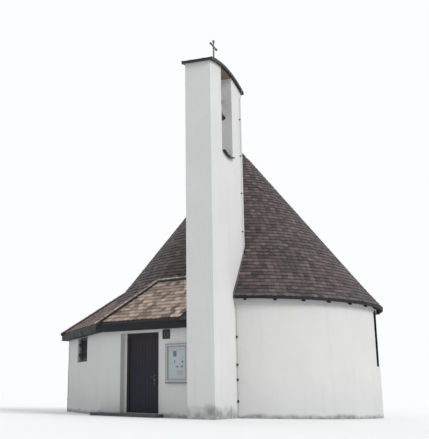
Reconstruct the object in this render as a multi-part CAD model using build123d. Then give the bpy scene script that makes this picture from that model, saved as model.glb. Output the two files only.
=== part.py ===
from build123d import *
import os
from math import acos, cos, degrees, radians, sin, sqrt, tan

os.makedirs("parts", exist_ok=True)

# A small round chapel: a nave with a bell-cast cone roof, a slim bell tower at its front and a low
# three-sided anteroom beside the tower. Millimetres, +Z up, origin on the nave's axis at ground level.
# The tower's front faces -Y. A wall's turn is measured from -Y towards -X.

# Nave
nave_base_radius = 4280
nave_batter = 10
nave_wall_thickness = 420
nave_wall_parts = 4
floor_height = 100
ring_beam_depth = 860

# Cone roof: a straight slope with a slight bell-cast above the eave
eave_top = 3360
cone_overhang = 185
flare_reach = 755
main_pitch = 51.8
eave_pitch = 48.7
roof_depth = 140
eave_board_thickness = 25
eave_board_depth = 76
tail_count = 32
tail_width = 80
tail_depth = 90
tail_drop = 45
roof_quarter_starts = (-120, -30, 60, 150)

# Tower
tower_left = 205
tower_width = 765
tower_before_nave = 1830
tower_depth = 3050
tower_wall = 180
tower_height = 9960
cap_rise = 190
cap_thickness = 80
cap_overhang = 80
cap_edge_height = 240
slot_width = 1020
slot_height = 2440
sill_sag = 95
belfry_floor_depth = 220
flashing_thickness = 40
flashing_reach = 90

# Cross on the cap
cross_height = 1040
cross_bar_length = 620
cross_bar_drop = 210
cross_section = 40
cross_foot = 150

# Bell
bell_radius = 330
bell_height = 540
bell_wall = 26
bell_stations = ((1.0, 0.0), (0.76, 0.24), (0.62, 0.6), (0.5, 0.88))
bell_crown_radius = 60
bell_crown_slope = 0.55
axle_below_tower_top = 580
axle_above_bell = 140
axle_radius = 25
axle_clearance = 0.1
bearing_size = 130
bearing_depth = 70
headstock_gap = 8
headstock_width = 150
headstock_height = 170
clapper_radius = 38
clapper_rod_radius = 10

# Anteroom
front_turn = 20.2
front_before_nave = 1088
corner_to_doorway = 810
side_turn = 49.3
back_turn = 139.3
back_behind_nave = 1264
annex_wall = 360
annex_eave_top = 2565
eave_overhang = 200
back_overhang = 400
annex_roof_depth = 150
front_pitch = 46
side_pitch = 36.5
ridge_rise = 1331
ridge_fall = 30
ridge_back_length = 550
fascia_height = 190
fascia_thickness = 30
soffit_thickness = 20
opening_angle = 184
tower_cover_angle = 4

# Doorway in the front wall
doorway_width = 1510
doorway_to_board = 310
recess_depth = 170
jamb_step = 100
head_below_eave = 260
frame_setback = 5
frame_face = 75
frame_depth = 70
frame_stop = 20
frame_stop_depth = 20
leaf_gap = 8
stop_gap = 6
leaf_thickness = 60
leaf_floor_gap = 8
handle_height = 1070
handle_inset = 150
handle_radius = 10
handle_reach = 60
handle_length = 125
rose_width = 44
rose_above = 60
rose_below = 110
rose_thickness = 8
hinge_radius = 9
hinge_length = 60
hinge_offset = 4
hinge_standoff = 12
hinge_running_gap = 0.3
hinge_inset = 250
strap_length = 420
strap_height = 40
strap_thickness = 6
pintle_plate_width = 50

# Step along the anteroom
step_top = 85
step_reach = 330
step_past_doorway = 170

# Window in the side wall
window_from_corner = 1819
window_width = 1365
window_height = 785
window_setback = 130
window_frame_face = 45
window_frame_depth = 60
pane_thickness = 8

# Window in the nave's wall, under its eave, on the side away from the anteroom
nave_window_angle = 11
nave_window_width = 2200
nave_window_sill = 1520
nave_window_setback = 90
nave_window_frame_face = 60

# Things fixed to the front wall
board_from_tower = 73
board_width = 800
board_bottom = 920
board_height = 1035
board_depth = 60
board_rim = 80
board_recess = 35
board_glass_setback = 12
board_glass = 5
plaque_past_doorway = 170
plaque_below_eave = 25
plaque_size = 255
plaque_depth = 30
plaque_rim = 26
plaque_recess = 10
plaque_ring_radius = 72
plaque_ring_width = 18
plaque_ring_depth = 8

# Rainwater pipe at the far corner
pipe_radius = 45
pipe_gap = 25

# A length beyond every piece, and how far a cutting block passes the face that it cuts
far = 40000
cut_past = 1

# Sizes that follow from the ones above
nave_top_radius = nave_base_radius - nave_batter
nave_inner_radius = nave_top_radius - nave_wall_thickness
eave_radius = nave_top_radius + cone_overhang
eave_low = eave_top - eave_board_depth
knee_radius = eave_radius - flare_reach
knee_height = eave_top + flare_reach * tan(radians((main_pitch + eave_pitch) / 2))
apex_height = knee_height + knee_radius * tan(radians(main_pitch))
ring_beam_underside = eave_top - ring_beam_depth
nave_window_head = eave_low - tail_drop
nave_window_face = sqrt(nave_base_radius**2 - (nave_window_width / 2) ** 2) - nave_window_setback
tower_front = -nave_base_radius - tower_before_nave
tower_right = tower_left + tower_width
tower_back = tower_front + tower_depth
tower_middle_x = tower_left + tower_width / 2
tower_middle_y = tower_front + tower_depth / 2
slot_front = tower_middle_y - slot_width / 2
slot_back = tower_middle_y + slot_width / 2
sill_height = tower_height - slot_height
belfry_base = sill_height - sill_sag - belfry_floor_depth
cap_radius = ((tower_depth / 2) ** 2 + cap_rise**2) / (2 * cap_rise)
cap_centre_z = tower_height + cap_rise - cap_radius
sill_radius = ((slot_width / 2) ** 2 + sill_sag**2) / (2 * sill_sag)
sill_centre_z = sill_height - sill_sag + sill_radius
axle_height = tower_height - axle_below_tower_top
bell_lip_height = axle_height - axle_above_bell - bell_height
front_distance = nave_base_radius + front_before_nave
back_distance = nave_base_radius - back_behind_nave
front_roof_top = annex_eave_top + ridge_rise
annex_eave_underside = annex_eave_top - fascia_height
doorway_head = annex_eave_top - head_below_eave
tower_side_angle = -degrees(acos(tower_right / nave_base_radius))
inside_tower_angle = tower_side_angle - tower_cover_angle


def outward(turn):
    """Unit normal of a wall whose outer face is turned from -Y towards -X."""
    return Vector(-sin(radians(turn)), -cos(radians(turn)), 0)


def along(turn):
    """Direction along a wall, to the right for someone who faces it from outside."""
    return Vector(cos(radians(turn)), -sin(radians(turn)), 0)


def corner_point(first_turn, first_distance, second_turn, second_distance):
    """Where two upright planes, given by turn and distance from the axis, cross in plan."""
    a = outward(first_turn)
    b = outward(second_turn)
    cross_product = a.X * b.Y - a.Y * b.X
    x = (first_distance * b.Y - second_distance * a.Y) / cross_product
    y = (second_distance * a.X - first_distance * b.X) / cross_product
    return Vector(x, y, 0)


def wall_plane(turn, distance):
    """Plane on a wall's outer face: x to the right, y up, z outward."""
    return Plane(origin=outward(turn) * distance, x_dir=along(turn), z_dir=outward(turn))


def section_plane(turn):
    """Upright plane through the nave's axis: x outward across the wall, y up."""
    return Plane(origin=(0, 0, 0), x_dir=outward(turn), z_dir=outward(turn).cross(Vector(0, 0, 1)))


def prism_along(turn, points):
    """Long prism with a section given as (distance from the nave's axis, height)."""
    section = section_plane(turn) * make_face(Polyline(*points, close=True))
    return extrude(section, amount=far / 2, both=True)


def half_space(direction, distance):
    """Everything beyond a plane, on the side that the direction points to."""
    unit = direction.normalized()
    plane = Plane(origin=unit * distance, z_dir=unit)
    return plane * Box(far, far, far, align=(Align.CENTER, Align.CENTER, Align.MIN))


def block(x0, x1, y0, y1, z0, z1):
    return Pos((x0 + x1) / 2, (y0 + y1) / 2, (z0 + z1) / 2) * Box(x1 - x0, y1 - y0, z1 - z0)


def wall_block(plane, x0, x1, y0, y1, depth0, depth1):
    """Block on a wall: x along it, y up, depths measured inward from its outer face."""
    return plane * block(x0, x1, y0, y1, -depth1, -depth0)


def wedge(start, end):
    """Upright pie slice about the nave's axis, under 180 degrees wide."""
    middle = (start + end) / 2
    corners = [(0, 0)]
    for angle in (start, middle, end):
        corners.append((far * cos(radians(angle)), far * sin(radians(angle))))
    return extrude(make_face(Polyline(*corners, close=True)), amount=far / 2, both=True)


def spin_section(face):
    """Solid of revolution of a section drawn as (radius, height)."""
    return revolve(Plane.XZ * face, Axis.Z, 360)


def roof_line(drop):
    """The cone's outer line, lowered by a drop: straight from the apex, then a bell-cast arc."""
    straight = Line((0, apex_height - drop), (knee_radius, knee_height - drop))
    flare = TangentArc(
        (knee_radius, knee_height - drop),
        (eave_radius, eave_top - drop),
        tangent=(1, -tan(radians(main_pitch))),
    )
    return straight, flare


def under_roof(drop):
    """All the space below the cone's line, lowered by a drop, down to the ground."""
    straight, flare = roof_line(drop)
    rest = Polyline((eave_radius, eave_top - drop), (eave_radius, 0), (0, 0), (0, apex_height - drop))
    return spin_section(make_face(straight + flare + rest))


def upright_drum(radius, low, high):
    """Cylinder on the nave's axis between two heights."""
    return Pos(0, 0, low) * Cylinder(radius, high - low, align=(Align.CENTER, Align.CENTER, Align.MIN))


def nave_window_block(inset, outer, inner):
    """Upright block in the nave's window opening, inset all round, between two distances from the axis."""
    half = nave_window_width / 2 - inset
    low = nave_window_sill + inset
    high = nave_window_head - inset
    return Rot(0, 0, nave_window_angle) * block(inner, outer, -half, half, low, high)


def save(name, shape):
    export_step(shape, f"parts/{name}.step")


# Places along the front wall, measured from the foot of its normal, from the tower leftwards
tower_corner = (tower_left + front_distance * sin(radians(front_turn))) / cos(radians(front_turn))
board_right = tower_corner - board_from_tower
board_left = board_right - board_width
recess_right = board_left - doorway_to_board
recess_left = recess_right - doorway_width
front_left_end = recess_left - corner_to_doorway
plaque_left = recess_right + plaque_past_doorway
step_right_end = recess_right + step_past_doorway

# The side wall starts at the front wall's left end, and its window is measured from that corner
front_corner = outward(front_turn) * front_distance + along(front_turn) * front_left_end
side_distance = front_corner.dot(outward(side_turn))
window_right = front_corner.dot(along(side_turn)) - window_from_corner
window_left = window_right - window_width
window_head = annex_eave_underside
window_sill = window_head - window_height

# Solids that several pieces are cut with
below_tiles = under_roof(0)
below_shell = under_roof(roof_depth)
tower_space = block(tower_left, tower_right, tower_front, tower_back, 0, far / 2)
wall_cone_points = (
    (0, 0),
    (nave_base_radius, 0),
    (nave_top_radius, eave_top),
    (nave_top_radius, far),
    (0, far),
)
wall_cone = spin_section(make_face(Polyline(*wall_cone_points, close=True)))
nave_hall = upright_drum(nave_inner_radius, -cut_past, far)
roof_shell = (below_tiles - below_shell) & block(-far, far, -far, far, eave_low, far)
nave_body = (wall_cone & below_shell) + roof_shell


# Nave
def nave():
    ring = (wall_cone & below_shell) - nave_hall - tower_space - nave_window_block(0, far, 0)
    sweep = (opening_angle - tower_side_angle) / nave_wall_parts
    start = inside_tower_angle
    for number in range(nave_wall_parts):
        end = tower_side_angle + sweep * (number + 1)
        save(f"nave_wall_{number + 1}", ring & wedge(start, end))
        start = end
    beam = ring & wedge(opening_angle, 360 + inside_tower_angle)
    save("ring_beam", beam & block(-far, tower_left, -far, far, ring_beam_underside, far / 2))
    save("nave_floor", upright_drum(nave_inner_radius, 0, floor_height) - tower_space)


def nave_window():
    face = nave_window_frame_face
    outer = nave_window_face
    inner = outer - window_frame_depth
    middle = (outer + inner) / 2
    half = pane_thickness / 2
    frame = nave_window_block(0, outer, inner) - nave_window_block(face, outer + cut_past, inner - cut_past)
    save("nave_window_frame", frame)
    save("nave_window_pane", nave_window_block(face, middle + half, middle - half))


def cone_roof(annex_space):
    shell = roof_shell - tower_space
    for number, start in enumerate(roof_quarter_starts):
        save(f"cone_roof_{number + 1}", shell & wedge(start, start + 90))
    board = upright_drum(eave_radius + eave_board_thickness, eave_low, eave_top)
    board = board - upright_drum(eave_radius, eave_low, eave_top)
    save("eave_board", board - tower_space - annex_space)
    tails = below_shell - under_roof(roof_depth + tail_depth) - wall_cone - tower_space - annex_space
    tails = tails & block(-far, far, -far, far, eave_low - tail_drop, far / 2)
    slabs = []
    for number in range(tail_count):
        turn = Rot(0, 0, 360 * (number + 0.5) / tail_count)
        slabs.append(turn * block(0, far, -tail_width / 2, tail_width / 2, 0, far / 2))
    save("rafter_tails", Compound([piece for slab in slabs for piece in (tails & slab).solids()]))


# Tower
def arch_prism(x0, x1, radius, centre_z, y0, y1):
    """Cylinder across the tower, kept between two depths."""
    drum = Pos((x0 + x1) / 2, tower_middle_y, centre_z) * Rot(0, 90, 0) * Cylinder(radius, x1 - x0)
    return drum & block(x0, x1, y0, y1, -far / 2, far / 2)


def tower():
    inner_front = tower_front + tower_wall
    inner_back = tower_back - tower_wall
    shaft_sides = {
        "tower_front_wall": (tower_left, tower_right, tower_front, inner_front),
        "tower_back_wall": (tower_left, tower_right, inner_back, tower_back),
        "tower_left_wall": (tower_left, tower_left + tower_wall, inner_front, inner_back),
        "tower_right_wall": (tower_right - tower_wall, tower_right, inner_front, inner_back),
    }
    for name, sides in shaft_sides.items():
        save(name, block(*sides, 0, belfry_base))
    below_cap = arch_prism(tower_left, tower_right, cap_radius, cap_centre_z, tower_front, tower_back)
    base = block(tower_left, tower_right, tower_front, tower_back, belfry_base, sill_height - sill_sag)
    curb = block(tower_left, tower_right, slot_front, slot_back, sill_height - sill_sag, sill_height)
    hollow = arch_prism(-far / 2, far / 2, sill_radius, sill_centre_z, slot_front, slot_back)
    save("belfry_floor", base + (curb - hollow))
    pier_base = sill_height - sill_sag
    save("tower_front_pier", below_cap & block(-far, far, -far, slot_front, pier_base, far))
    save("tower_back_pier", below_cap & block(-far, far, slot_back, far, pier_base, far))
    cap_left = tower_left - cap_overhang
    cap_right = tower_right + cap_overhang
    cap_front = tower_front - cap_overhang
    cap_back = tower_back + cap_overhang
    cap = arch_prism(cap_left, cap_right, cap_radius + cap_thickness, cap_centre_z, cap_front, cap_back)
    hollow = arch_prism(-far / 2, far / 2, cap_radius, cap_centre_z, -far / 2, far / 2)
    save("tower_cap", (cap - hollow) & block(-far, far, -far, far, tower_height - cap_edge_height, far))
    inner = sill_radius - flashing_thickness
    sheet_left = tower_left - flashing_reach
    sheet_right = tower_right + flashing_reach
    sheet = arch_prism(sheet_left, sheet_right, sill_radius, sill_centre_z, slot_front, slot_back)
    sheet = sheet - arch_prism(-far / 2, far / 2, inner, sill_centre_z, -far / 2, far / 2)
    save("sill_flashing", sheet & block(-far, far, -far, far, 0, sill_height))


def cross():
    base = cap_centre_z + cap_radius + cap_thickness
    half = cross_section / 2
    post = block(-half, half, -half, half, base, base + cross_height)
    bar_height = base + cross_height - cross_bar_drop
    reach = cross_bar_length / 2
    bar = block(-half, half, -reach, reach, bar_height - half, bar_height + half)
    foot = Pos(0, 0, base + half / 2) * Box(cross_foot, cross_foot, half)
    below = Pos(-tower_middle_x, -tower_middle_y, 0) * arch_prism(
        tower_left, tower_right, cap_radius + cap_thickness, cap_centre_z, tower_front, tower_back
    )
    save("tower_cross", Pos(tower_middle_x, tower_middle_y, 0) * (post + bar + foot - below))


def bell_profile(radius, height, inset):
    """Half section of the bell's outer face, or of its inner face where inset by the wall."""
    top = height - inset
    points = [(radius * across - inset, top * up) for across, up in bell_stations]
    shoulder = points[-1]
    crown = Polyline(shoulder, (bell_crown_slope * shoulder[0], top), (0, top), (0, 0), points[0])
    return make_face(Spline(*points) + crown)


def bell():
    place = Pos(tower_middle_x, tower_middle_y, bell_lip_height)
    outer = spin_section(bell_profile(bell_radius, bell_height, 0))
    inner = spin_section(bell_profile(bell_radius, bell_height, bell_wall))
    headstock_low = axle_height - headstock_height / 2
    crown_height = headstock_low - bell_lip_height - bell_height
    crown = upright_drum(bell_crown_radius, bell_height, bell_height + crown_height)
    save("bell", place * (outer - inner + crown))
    ball = Pos(0, 0, clapper_radius) * Sphere(clapper_radius)
    rod = upright_drum(clapper_rod_radius, clapper_radius, bell_height - bell_wall)
    save("bell_clapper", place * (ball + rod))
    reach = slot_width / 2 - bearing_depth - headstock_gap
    pivot = Pos(tower_middle_x, tower_middle_y, axle_height)
    stock = Box(headstock_width, 2 * reach, headstock_height)
    axle = Rot(90, 0, 0) * Cylinder(axle_radius, slot_width - bearing_depth)
    save("bell_headstock", pivot * (stock + axle))
    bore = pivot * Rot(90, 0, 0) * Cylinder(axle_radius + axle_clearance, far)
    bearings = []
    for y0, y1 in ((slot_front, slot_front + bearing_depth), (slot_back - bearing_depth, slot_back)):
        side = bearing_size / 2
        housing = block(
            tower_middle_x - side, tower_middle_x + side, y0, y1, axle_height - side, axle_height + side
        )
        bearings.append(housing - bore)
    save("bell_bearings", Compound(bearings))


# Anteroom
front_plane = wall_plane(front_turn, front_distance)
side_plane = wall_plane(side_turn, side_distance)
wall_turns = {"front": front_turn, "side": side_turn, "back": back_turn}
wall_distances = {"front": front_distance, "side": side_distance, "back": back_distance}
roof_pitches = {"front": front_pitch, "side": side_pitch, "back": side_pitch}
overhangs = {"front": eave_overhang, "side": eave_overhang, "back": back_overhang}
eave_lines = {name: wall_distances[name] + overhangs[name] for name in wall_turns}
ridge_distance = eave_lines["front"] - ridge_rise / tan(radians(front_pitch))


def roof_height(name, distance):
    """Height of a slope's upper face at a distance from the nave's axis."""
    return annex_eave_top + (eave_lines[name] - distance) * tan(radians(roof_pitches[name]))


def slope_prism(name, drop_top, drop_bottom, outer, inner):
    """Long slab under a slope, between two drops below its upper face."""
    points = (
        (outer, roof_height(name, outer) - drop_top),
        (inner, roof_height(name, inner) - drop_top),
        (inner, roof_height(name, inner) - drop_bottom),
        (outer, roof_height(name, outer) - drop_bottom),
    )
    return prism_along(wall_turns[name], points)


def slope_gradient(name):
    """A slope's fall in plan, and its height above the eaves where it passes the nave's axis."""
    if name == "ridge_back":
        steepness = tan(radians(ridge_fall))
        return outward(front_turn) * -steepness, ridge_rise - ridge_distance * steepness
    steepness = tan(radians(roof_pitches[name]))
    return outward(wall_turns[name]) * steepness, eave_lines[name] * steepness


def hip_side(kept, other):
    """Space in which one slope lies below the other, so that the two meet in a hip."""
    kept_fall, kept_height = slope_gradient(kept)
    other_fall, other_height = slope_gradient(other)
    direction = kept_fall - other_fall
    return half_space(direction, (kept_height - other_height) / direction.length)


def mitre_side(kept, other):
    """Space on one wall's side of the upright plane through the corner that it shares."""
    direction = outward(wall_turns[kept]) - outward(wall_turns[other])
    distance = (wall_distances[kept] - wall_distances[other]) / direction.length
    return half_space(direction, distance)


beside_tower = half_space(Vector(-1, 0, 0), -tower_left)


def clip(shape, name, cut):
    """Keep one side's share of a long prism, between its corners, the tower and the nave."""
    if name == "front":
        return shape & cut("front", "side") & beside_tower
    if name == "side":
        return shape & cut("side", "front") & cut("side", "back")
    return shape & cut("back", "side") & half_space(outward(side_turn), 0)


def annex_slopes():
    slopes = {}
    for name in ("side", "back"):
        outer = eave_lines[name] - fascia_thickness
        slab = slope_prism(name, 0, annex_roof_depth, outer, 0)
        slopes[name] = clip(slab, name, hip_side) - nave_body
    behind = ridge_distance - ridge_back_length
    past_ridge = half_space(outward(front_turn), behind) - hip_side("side", "ridge_back")
    slopes["side"] = slopes["side"] - past_ridge
    outer = eave_lines["front"] - fascia_thickness
    slab = slope_prism("front", 0, annex_roof_depth, outer, ridge_distance)
    behind_top = front_roof_top - ridge_back_length * tan(radians(ridge_fall))
    points = (
        (ridge_distance, front_roof_top),
        (behind, behind_top),
        (behind, behind_top - annex_roof_depth),
        (ridge_distance, front_roof_top - annex_roof_depth),
    )
    ridge_back = prism_along(front_turn, points) & hip_side("ridge_back", "side") & beside_tower
    slopes["front"] = (clip(slab, "front", hip_side) + ridge_back) - nave_body
    return slopes


def annex_space_below_slopes():
    """The space that the anteroom takes up, so that the cone's eave stops where it meets it."""
    space = None
    for name in wall_turns:
        body = slope_prism(name, 0, far / 4, eave_lines[name], 0)
        body = clip(body, name, hip_side)
        space = body if space is None else space + body
    return space


def largest(shape):
    return max(shape.solids(), key=lambda solid: solid.volume)


def annex_walls(slopes):
    walls = {}
    for name in wall_turns:
        outer = wall_distances[name]
        inner = outer - annex_wall
        points = (
            (outer, 0),
            (outer, roof_height(name, outer) - annex_roof_depth),
            (inner, roof_height(name, inner) - annex_roof_depth),
            (inner, 0),
        )
        wall = clip(prism_along(wall_turns[name], points), name, mitre_side) - nave_body
        for slope in slopes.values():
            wall = wall - slope
        walls[name] = largest(wall)
    inner_left = recess_left + jamb_step
    inner_right = recess_right - jamb_step
    top = front_roof_top
    front = walls["front"] - wall_block(
        front_plane, recess_left, recess_right, 0, doorway_head, -cut_past, recess_depth
    )
    through = (-cut_past, annex_wall + cut_past)
    save("front_wall_left", front & wall_block(front_plane, -far, inner_left, 0, top, *through))
    save("front_wall_right", front & wall_block(front_plane, inner_right, far, 0, top, *through))
    over_door = wall_block(front_plane, inner_left, inner_right, doorway_head, top, *through)
    save("door_lintel", front & over_door)
    hole = wall_block(side_plane, window_left, window_right, window_sill, window_head, *through)
    save("side_wall", walls["side"] - hole)
    save("annex_back_wall", walls["back"])


def annex_floor():
    inside = None
    for name in wall_turns:
        room = half_space(outward(wall_turns[name]) * -1, -(wall_distances[name] - annex_wall))
        inside = room if inside is None else inside & room
    slab = inside & block(-far, tower_left, -far, 0, 0, floor_height)
    opening = wedge(opening_angle, 360 + tower_side_angle)
    left = recess_left + jamb_step
    right = recess_right - jamb_step
    doorway = wall_block(front_plane, left, right, 0, floor_height, recess_depth, annex_wall)
    outside_hall = slab - nave_hall
    in_wall_line = outside_hall & wall_cone & opening
    save("annex_floor", (outside_hall - wall_cone) + in_wall_line + doorway)


def annex_eaves():
    boards = []
    for name in wall_turns:
        edge = eave_lines[name]
        low = annex_eave_underside
        points = (
            (edge, low),
            (edge, annex_eave_top),
            (edge - fascia_thickness, annex_eave_top),
            (edge - fascia_thickness, low + soffit_thickness),
            (wall_distances[name], low + soffit_thickness),
            (wall_distances[name], low),
        )
        board = clip(prism_along(wall_turns[name], points), name, hip_side) - wall_cone
        boards.append(largest(board))
    save("annex_eaves", Compound(boards))


def doorway():
    left = recess_left + jamb_step
    right = recess_right - jamb_step
    front = recess_depth + frame_setback
    back = front + frame_depth
    light_left = left + frame_face
    light_right = right - frame_face
    light_top = doorway_head - frame_face
    frame = wall_block(front_plane, left, right, floor_height, doorway_head, front, back)
    rebate_front = front + frame_stop_depth
    rebate = wall_block(front_plane, light_left, light_right, 0, light_top, rebate_front, back + cut_past)
    through = wall_block(
        front_plane,
        light_left + frame_stop,
        light_right - frame_stop,
        0,
        light_top - frame_stop,
        front - cut_past,
        back + cut_past,
    )
    save("door_frame", frame - rebate - through)
    face = rebate_front + stop_gap
    inner_face = face + leaf_thickness
    leaf_left = light_left + leaf_gap
    leaf_right = light_right - leaf_gap
    leaf_bottom = floor_height + leaf_floor_gap
    leaf_top = light_top - leaf_gap
    leaf = wall_block(front_plane, leaf_left, leaf_right, leaf_bottom, leaf_top, face, inner_face)
    save("door_leaf", leaf)
    straps = []
    pintles = []
    axis_x = leaf_left - hinge_offset
    axis_depth = inner_face + hinge_standoff
    knuckle = Rot(90, 0, 0) * Cylinder(hinge_radius, hinge_length)
    lowest = leaf_bottom + hinge_inset
    highest = leaf_top - hinge_inset
    strap_end = axis_x + strap_length
    strap_back = inner_face + strap_thickness
    for height in (lowest, (lowest + highest) / 2, highest):
        low = height - strap_height / 2
        strap = wall_block(front_plane, axis_x, strap_end, low, low + strap_height, inner_face, strap_back)
        straps.append(strap + front_plane * Pos(axis_x, height, -axis_depth) * knuckle)
        fixed_height = height - hinge_length - hinge_running_gap
        plate = wall_block(
            front_plane,
            light_left - pintle_plate_width,
            light_left,
            fixed_height - hinge_length / 2,
            fixed_height + hinge_length / 2,
            back,
            axis_depth,
        )
        pintles.append(plate + front_plane * Pos(axis_x, fixed_height, -axis_depth) * knuckle)
    save("door_hinges", Compound(straps))
    save("door_pintles", Compound(pintles))
    handle_x = leaf_right - handle_inset
    levers = []
    for side, surface in ((1, -face), (-1, -inner_face)):
        seat = front_plane * Pos(handle_x, handle_height, surface)
        rose_z = sorted((0, side * rose_thickness))
        rose = block(-rose_width / 2, rose_width / 2, -rose_below, rose_above, *rose_z)
        neck = Pos(0, 0, side * handle_reach / 2) * Cylinder(handle_radius, handle_reach)
        lever = Pos(handle_radius - handle_length / 2, 0, side * (handle_reach - handle_radius))
        lever = lever * Rot(0, 90, 0) * Cylinder(handle_radius, handle_length)
        levers.append(seat * (rose + neck + lever))
    save("door_handle", Compound(levers))


def entrance_step():
    outer = front_distance + step_reach
    points = ((front_distance, 0), (outer, 0), (outer, step_top), (front_distance, step_top))
    before_wall = wall_block(front_plane, -far, step_right_end, 0, step_top, -far, 0)
    slab = prism_along(front_turn, points) & before_wall
    save("entrance_step", slab & mitre_side("front", "side"))


def rainwater_pipe():
    inset = pipe_radius + pipe_gap
    corner = corner_point(side_turn, side_distance - pipe_radius, back_turn, back_distance + inset)
    save("rainwater_pipe", Pos(corner) * upright_drum(pipe_radius, 0, annex_eave_underside))


def window():
    front = window_setback
    back = front + window_frame_depth
    face = window_frame_face
    frame = wall_block(side_plane, window_left, window_right, window_sill, window_head, front, back)
    light = (window_left + face, window_right - face, window_sill + face, window_head - face)
    save("window_frame", frame - wall_block(side_plane, *light, front - cut_past, back + cut_past))
    middle = (front + back) / 2
    half = pane_thickness / 2
    save("window_pane", wall_block(side_plane, *light, middle - half, middle + half))


def notice_board():
    board_top = board_bottom + board_height
    case = wall_block(front_plane, board_left, board_right, board_bottom, board_top, -board_depth, 0)
    inside = (
        board_left + board_rim,
        board_right - board_rim,
        board_bottom + board_rim,
        board_top - board_rim,
    )
    sunk = wall_block(front_plane, *inside, -board_depth - cut_past, -board_depth + board_recess)
    save("notice_board", case - sunk)
    glass_face = -board_depth + board_glass_setback
    save("notice_board_glass", wall_block(front_plane, *inside, glass_face, glass_face + board_glass))


def wall_plaque():
    plaque_right = plaque_left + plaque_size
    plaque_top = annex_eave_underside - plaque_below_eave
    plaque_bottom = plaque_top - plaque_size
    edges = (plaque_left, plaque_right, plaque_bottom, plaque_top)
    plate = wall_block(front_plane, *edges, -plaque_depth, 0)
    inside = (
        plaque_left + plaque_rim,
        plaque_right - plaque_rim,
        plaque_bottom + plaque_rim,
        plaque_top - plaque_rim,
    )
    sunk = wall_block(front_plane, *inside, -plaque_depth - cut_past, -plaque_depth + plaque_recess)
    middle_x = (plaque_left + plaque_right) / 2
    middle_y = (plaque_bottom + plaque_top) / 2
    ring = upright_drum(plaque_ring_radius, 0, plaque_ring_depth)
    ring = ring - upright_drum(plaque_ring_radius - plaque_ring_width, -cut_past, far)
    ring = front_plane * Pos(middle_x, middle_y, plaque_depth - plaque_recess) * ring
    save("wall_plaque", plate - sunk + ring)


annex_slope_slabs = annex_slopes()
for slope_name, slope_slab in annex_slope_slabs.items():
    save(f"annex_roof_{slope_name}", largest(slope_slab))
nave()
nave_window()
cone_roof(annex_space_below_slopes())
tower()
cross()
bell()
annex_walls(annex_slope_slabs)
annex_floor()
annex_eaves()
doorway()
entrance_step()
rainwater_pipe()
window()
notice_board()
wall_plaque()
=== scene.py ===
# %% [markdown]
# A small round chapel with a slim bell tower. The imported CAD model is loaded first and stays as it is: it
# holds the walls, the roof shells, the tower, the bell and the door at their true places. Everything
# that follows dresses it in the same frame, in metres: tiles, boards, ironwork, sheet metal and finishes.

# %% Load the frame
import bpy
import bmesh
import math
import random
from mathutils import Matrix, Vector


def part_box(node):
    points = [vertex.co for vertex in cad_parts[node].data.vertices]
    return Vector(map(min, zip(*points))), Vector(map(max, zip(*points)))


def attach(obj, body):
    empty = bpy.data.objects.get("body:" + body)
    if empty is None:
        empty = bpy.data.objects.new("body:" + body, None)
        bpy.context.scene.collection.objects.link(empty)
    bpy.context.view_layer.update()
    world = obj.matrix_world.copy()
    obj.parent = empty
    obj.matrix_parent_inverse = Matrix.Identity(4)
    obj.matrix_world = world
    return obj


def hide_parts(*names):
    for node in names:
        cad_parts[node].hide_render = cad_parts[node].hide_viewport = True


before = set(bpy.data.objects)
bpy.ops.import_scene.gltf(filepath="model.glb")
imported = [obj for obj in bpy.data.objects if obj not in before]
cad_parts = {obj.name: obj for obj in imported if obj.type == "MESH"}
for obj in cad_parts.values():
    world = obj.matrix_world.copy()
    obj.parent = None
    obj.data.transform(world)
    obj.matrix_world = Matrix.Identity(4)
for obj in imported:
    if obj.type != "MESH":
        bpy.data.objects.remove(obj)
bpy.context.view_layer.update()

# %% [markdown]
# A piece that covers a roof or sits in an opening has to know the size of what carries it. Most sizes are
# read from the boxes of the CAD nodes. The directions of the anteroom's three walls and the pitches of
# its slopes can't be read from a box, so they are written once here.

# %% Sizes of the nave and the tower
UP = Vector((0, 0, 1))
EAVE_BOARD = 0.025
EAVE_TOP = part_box("eave_board")[1].z
EAVE_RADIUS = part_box("eave_board")[1].x - EAVE_BOARD
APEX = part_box("cone_roof_2")[1].z
CONE_PITCH = math.radians(51.8)
KNEE_SET_BACK = 0.755
KNEE_RADIUS = EAVE_RADIUS - KNEE_SET_BACK
NAVE_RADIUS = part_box("nave_wall_3")[1].y
TOWER_LEFT, TOWER_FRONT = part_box("tower_front_wall")[0].xy
TOWER_RIGHT, TOWER_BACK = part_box("tower_back_wall")[1].xy
TOWER_X = (TOWER_LEFT + TOWER_RIGHT) / 2
TOWER_Y = (TOWER_FRONT + TOWER_BACK) / 2
print("tower", round(TOWER_RIGHT - TOWER_LEFT, 3), "by", round(TOWER_BACK - TOWER_FRONT, 3), "m")

# %% Sizes of the anteroom
ANNEX_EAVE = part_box("annex_eaves")[1].z
RIDGE_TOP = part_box("annex_roof_front")[1].z
WALLS = {
    "front": {"turn": 20.2, "wall": 5.368, "eave": 5.568, "pitch": 46.0, "low": ANNEX_EAVE},
    "side": {"turn": 49.3, "wall": 5.327, "eave": 5.527, "pitch": 36.5, "low": ANNEX_EAVE},
    "back": {"turn": 139.3, "wall": 3.016, "eave": 3.416, "pitch": 36.5, "low": ANNEX_EAVE},
}


def outward(name):
    """Unit normal of an anteroom wall, turned from -Y towards -X."""
    turn = math.radians(WALLS[name]["turn"])
    return Vector((-math.sin(turn), -math.cos(turn), 0))


def along(name):
    """Direction along a wall, to the right for someone who faces it."""
    turn = math.radians(WALLS[name]["turn"])
    return Vector((math.cos(turn), -math.sin(turn), 0))


def steepness(name):
    """Rise of the slope over a wall for each metre in plan."""
    return math.tan(math.radians(WALLS[name]["pitch"]))


def axes(across, upward, origin):
    """Matrix that lays x and y along two directions at right angles, from an origin."""
    matrix = Matrix((across, upward, across.cross(upward))).transposed().to_4x4()
    matrix.translation = origin
    return matrix


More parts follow.
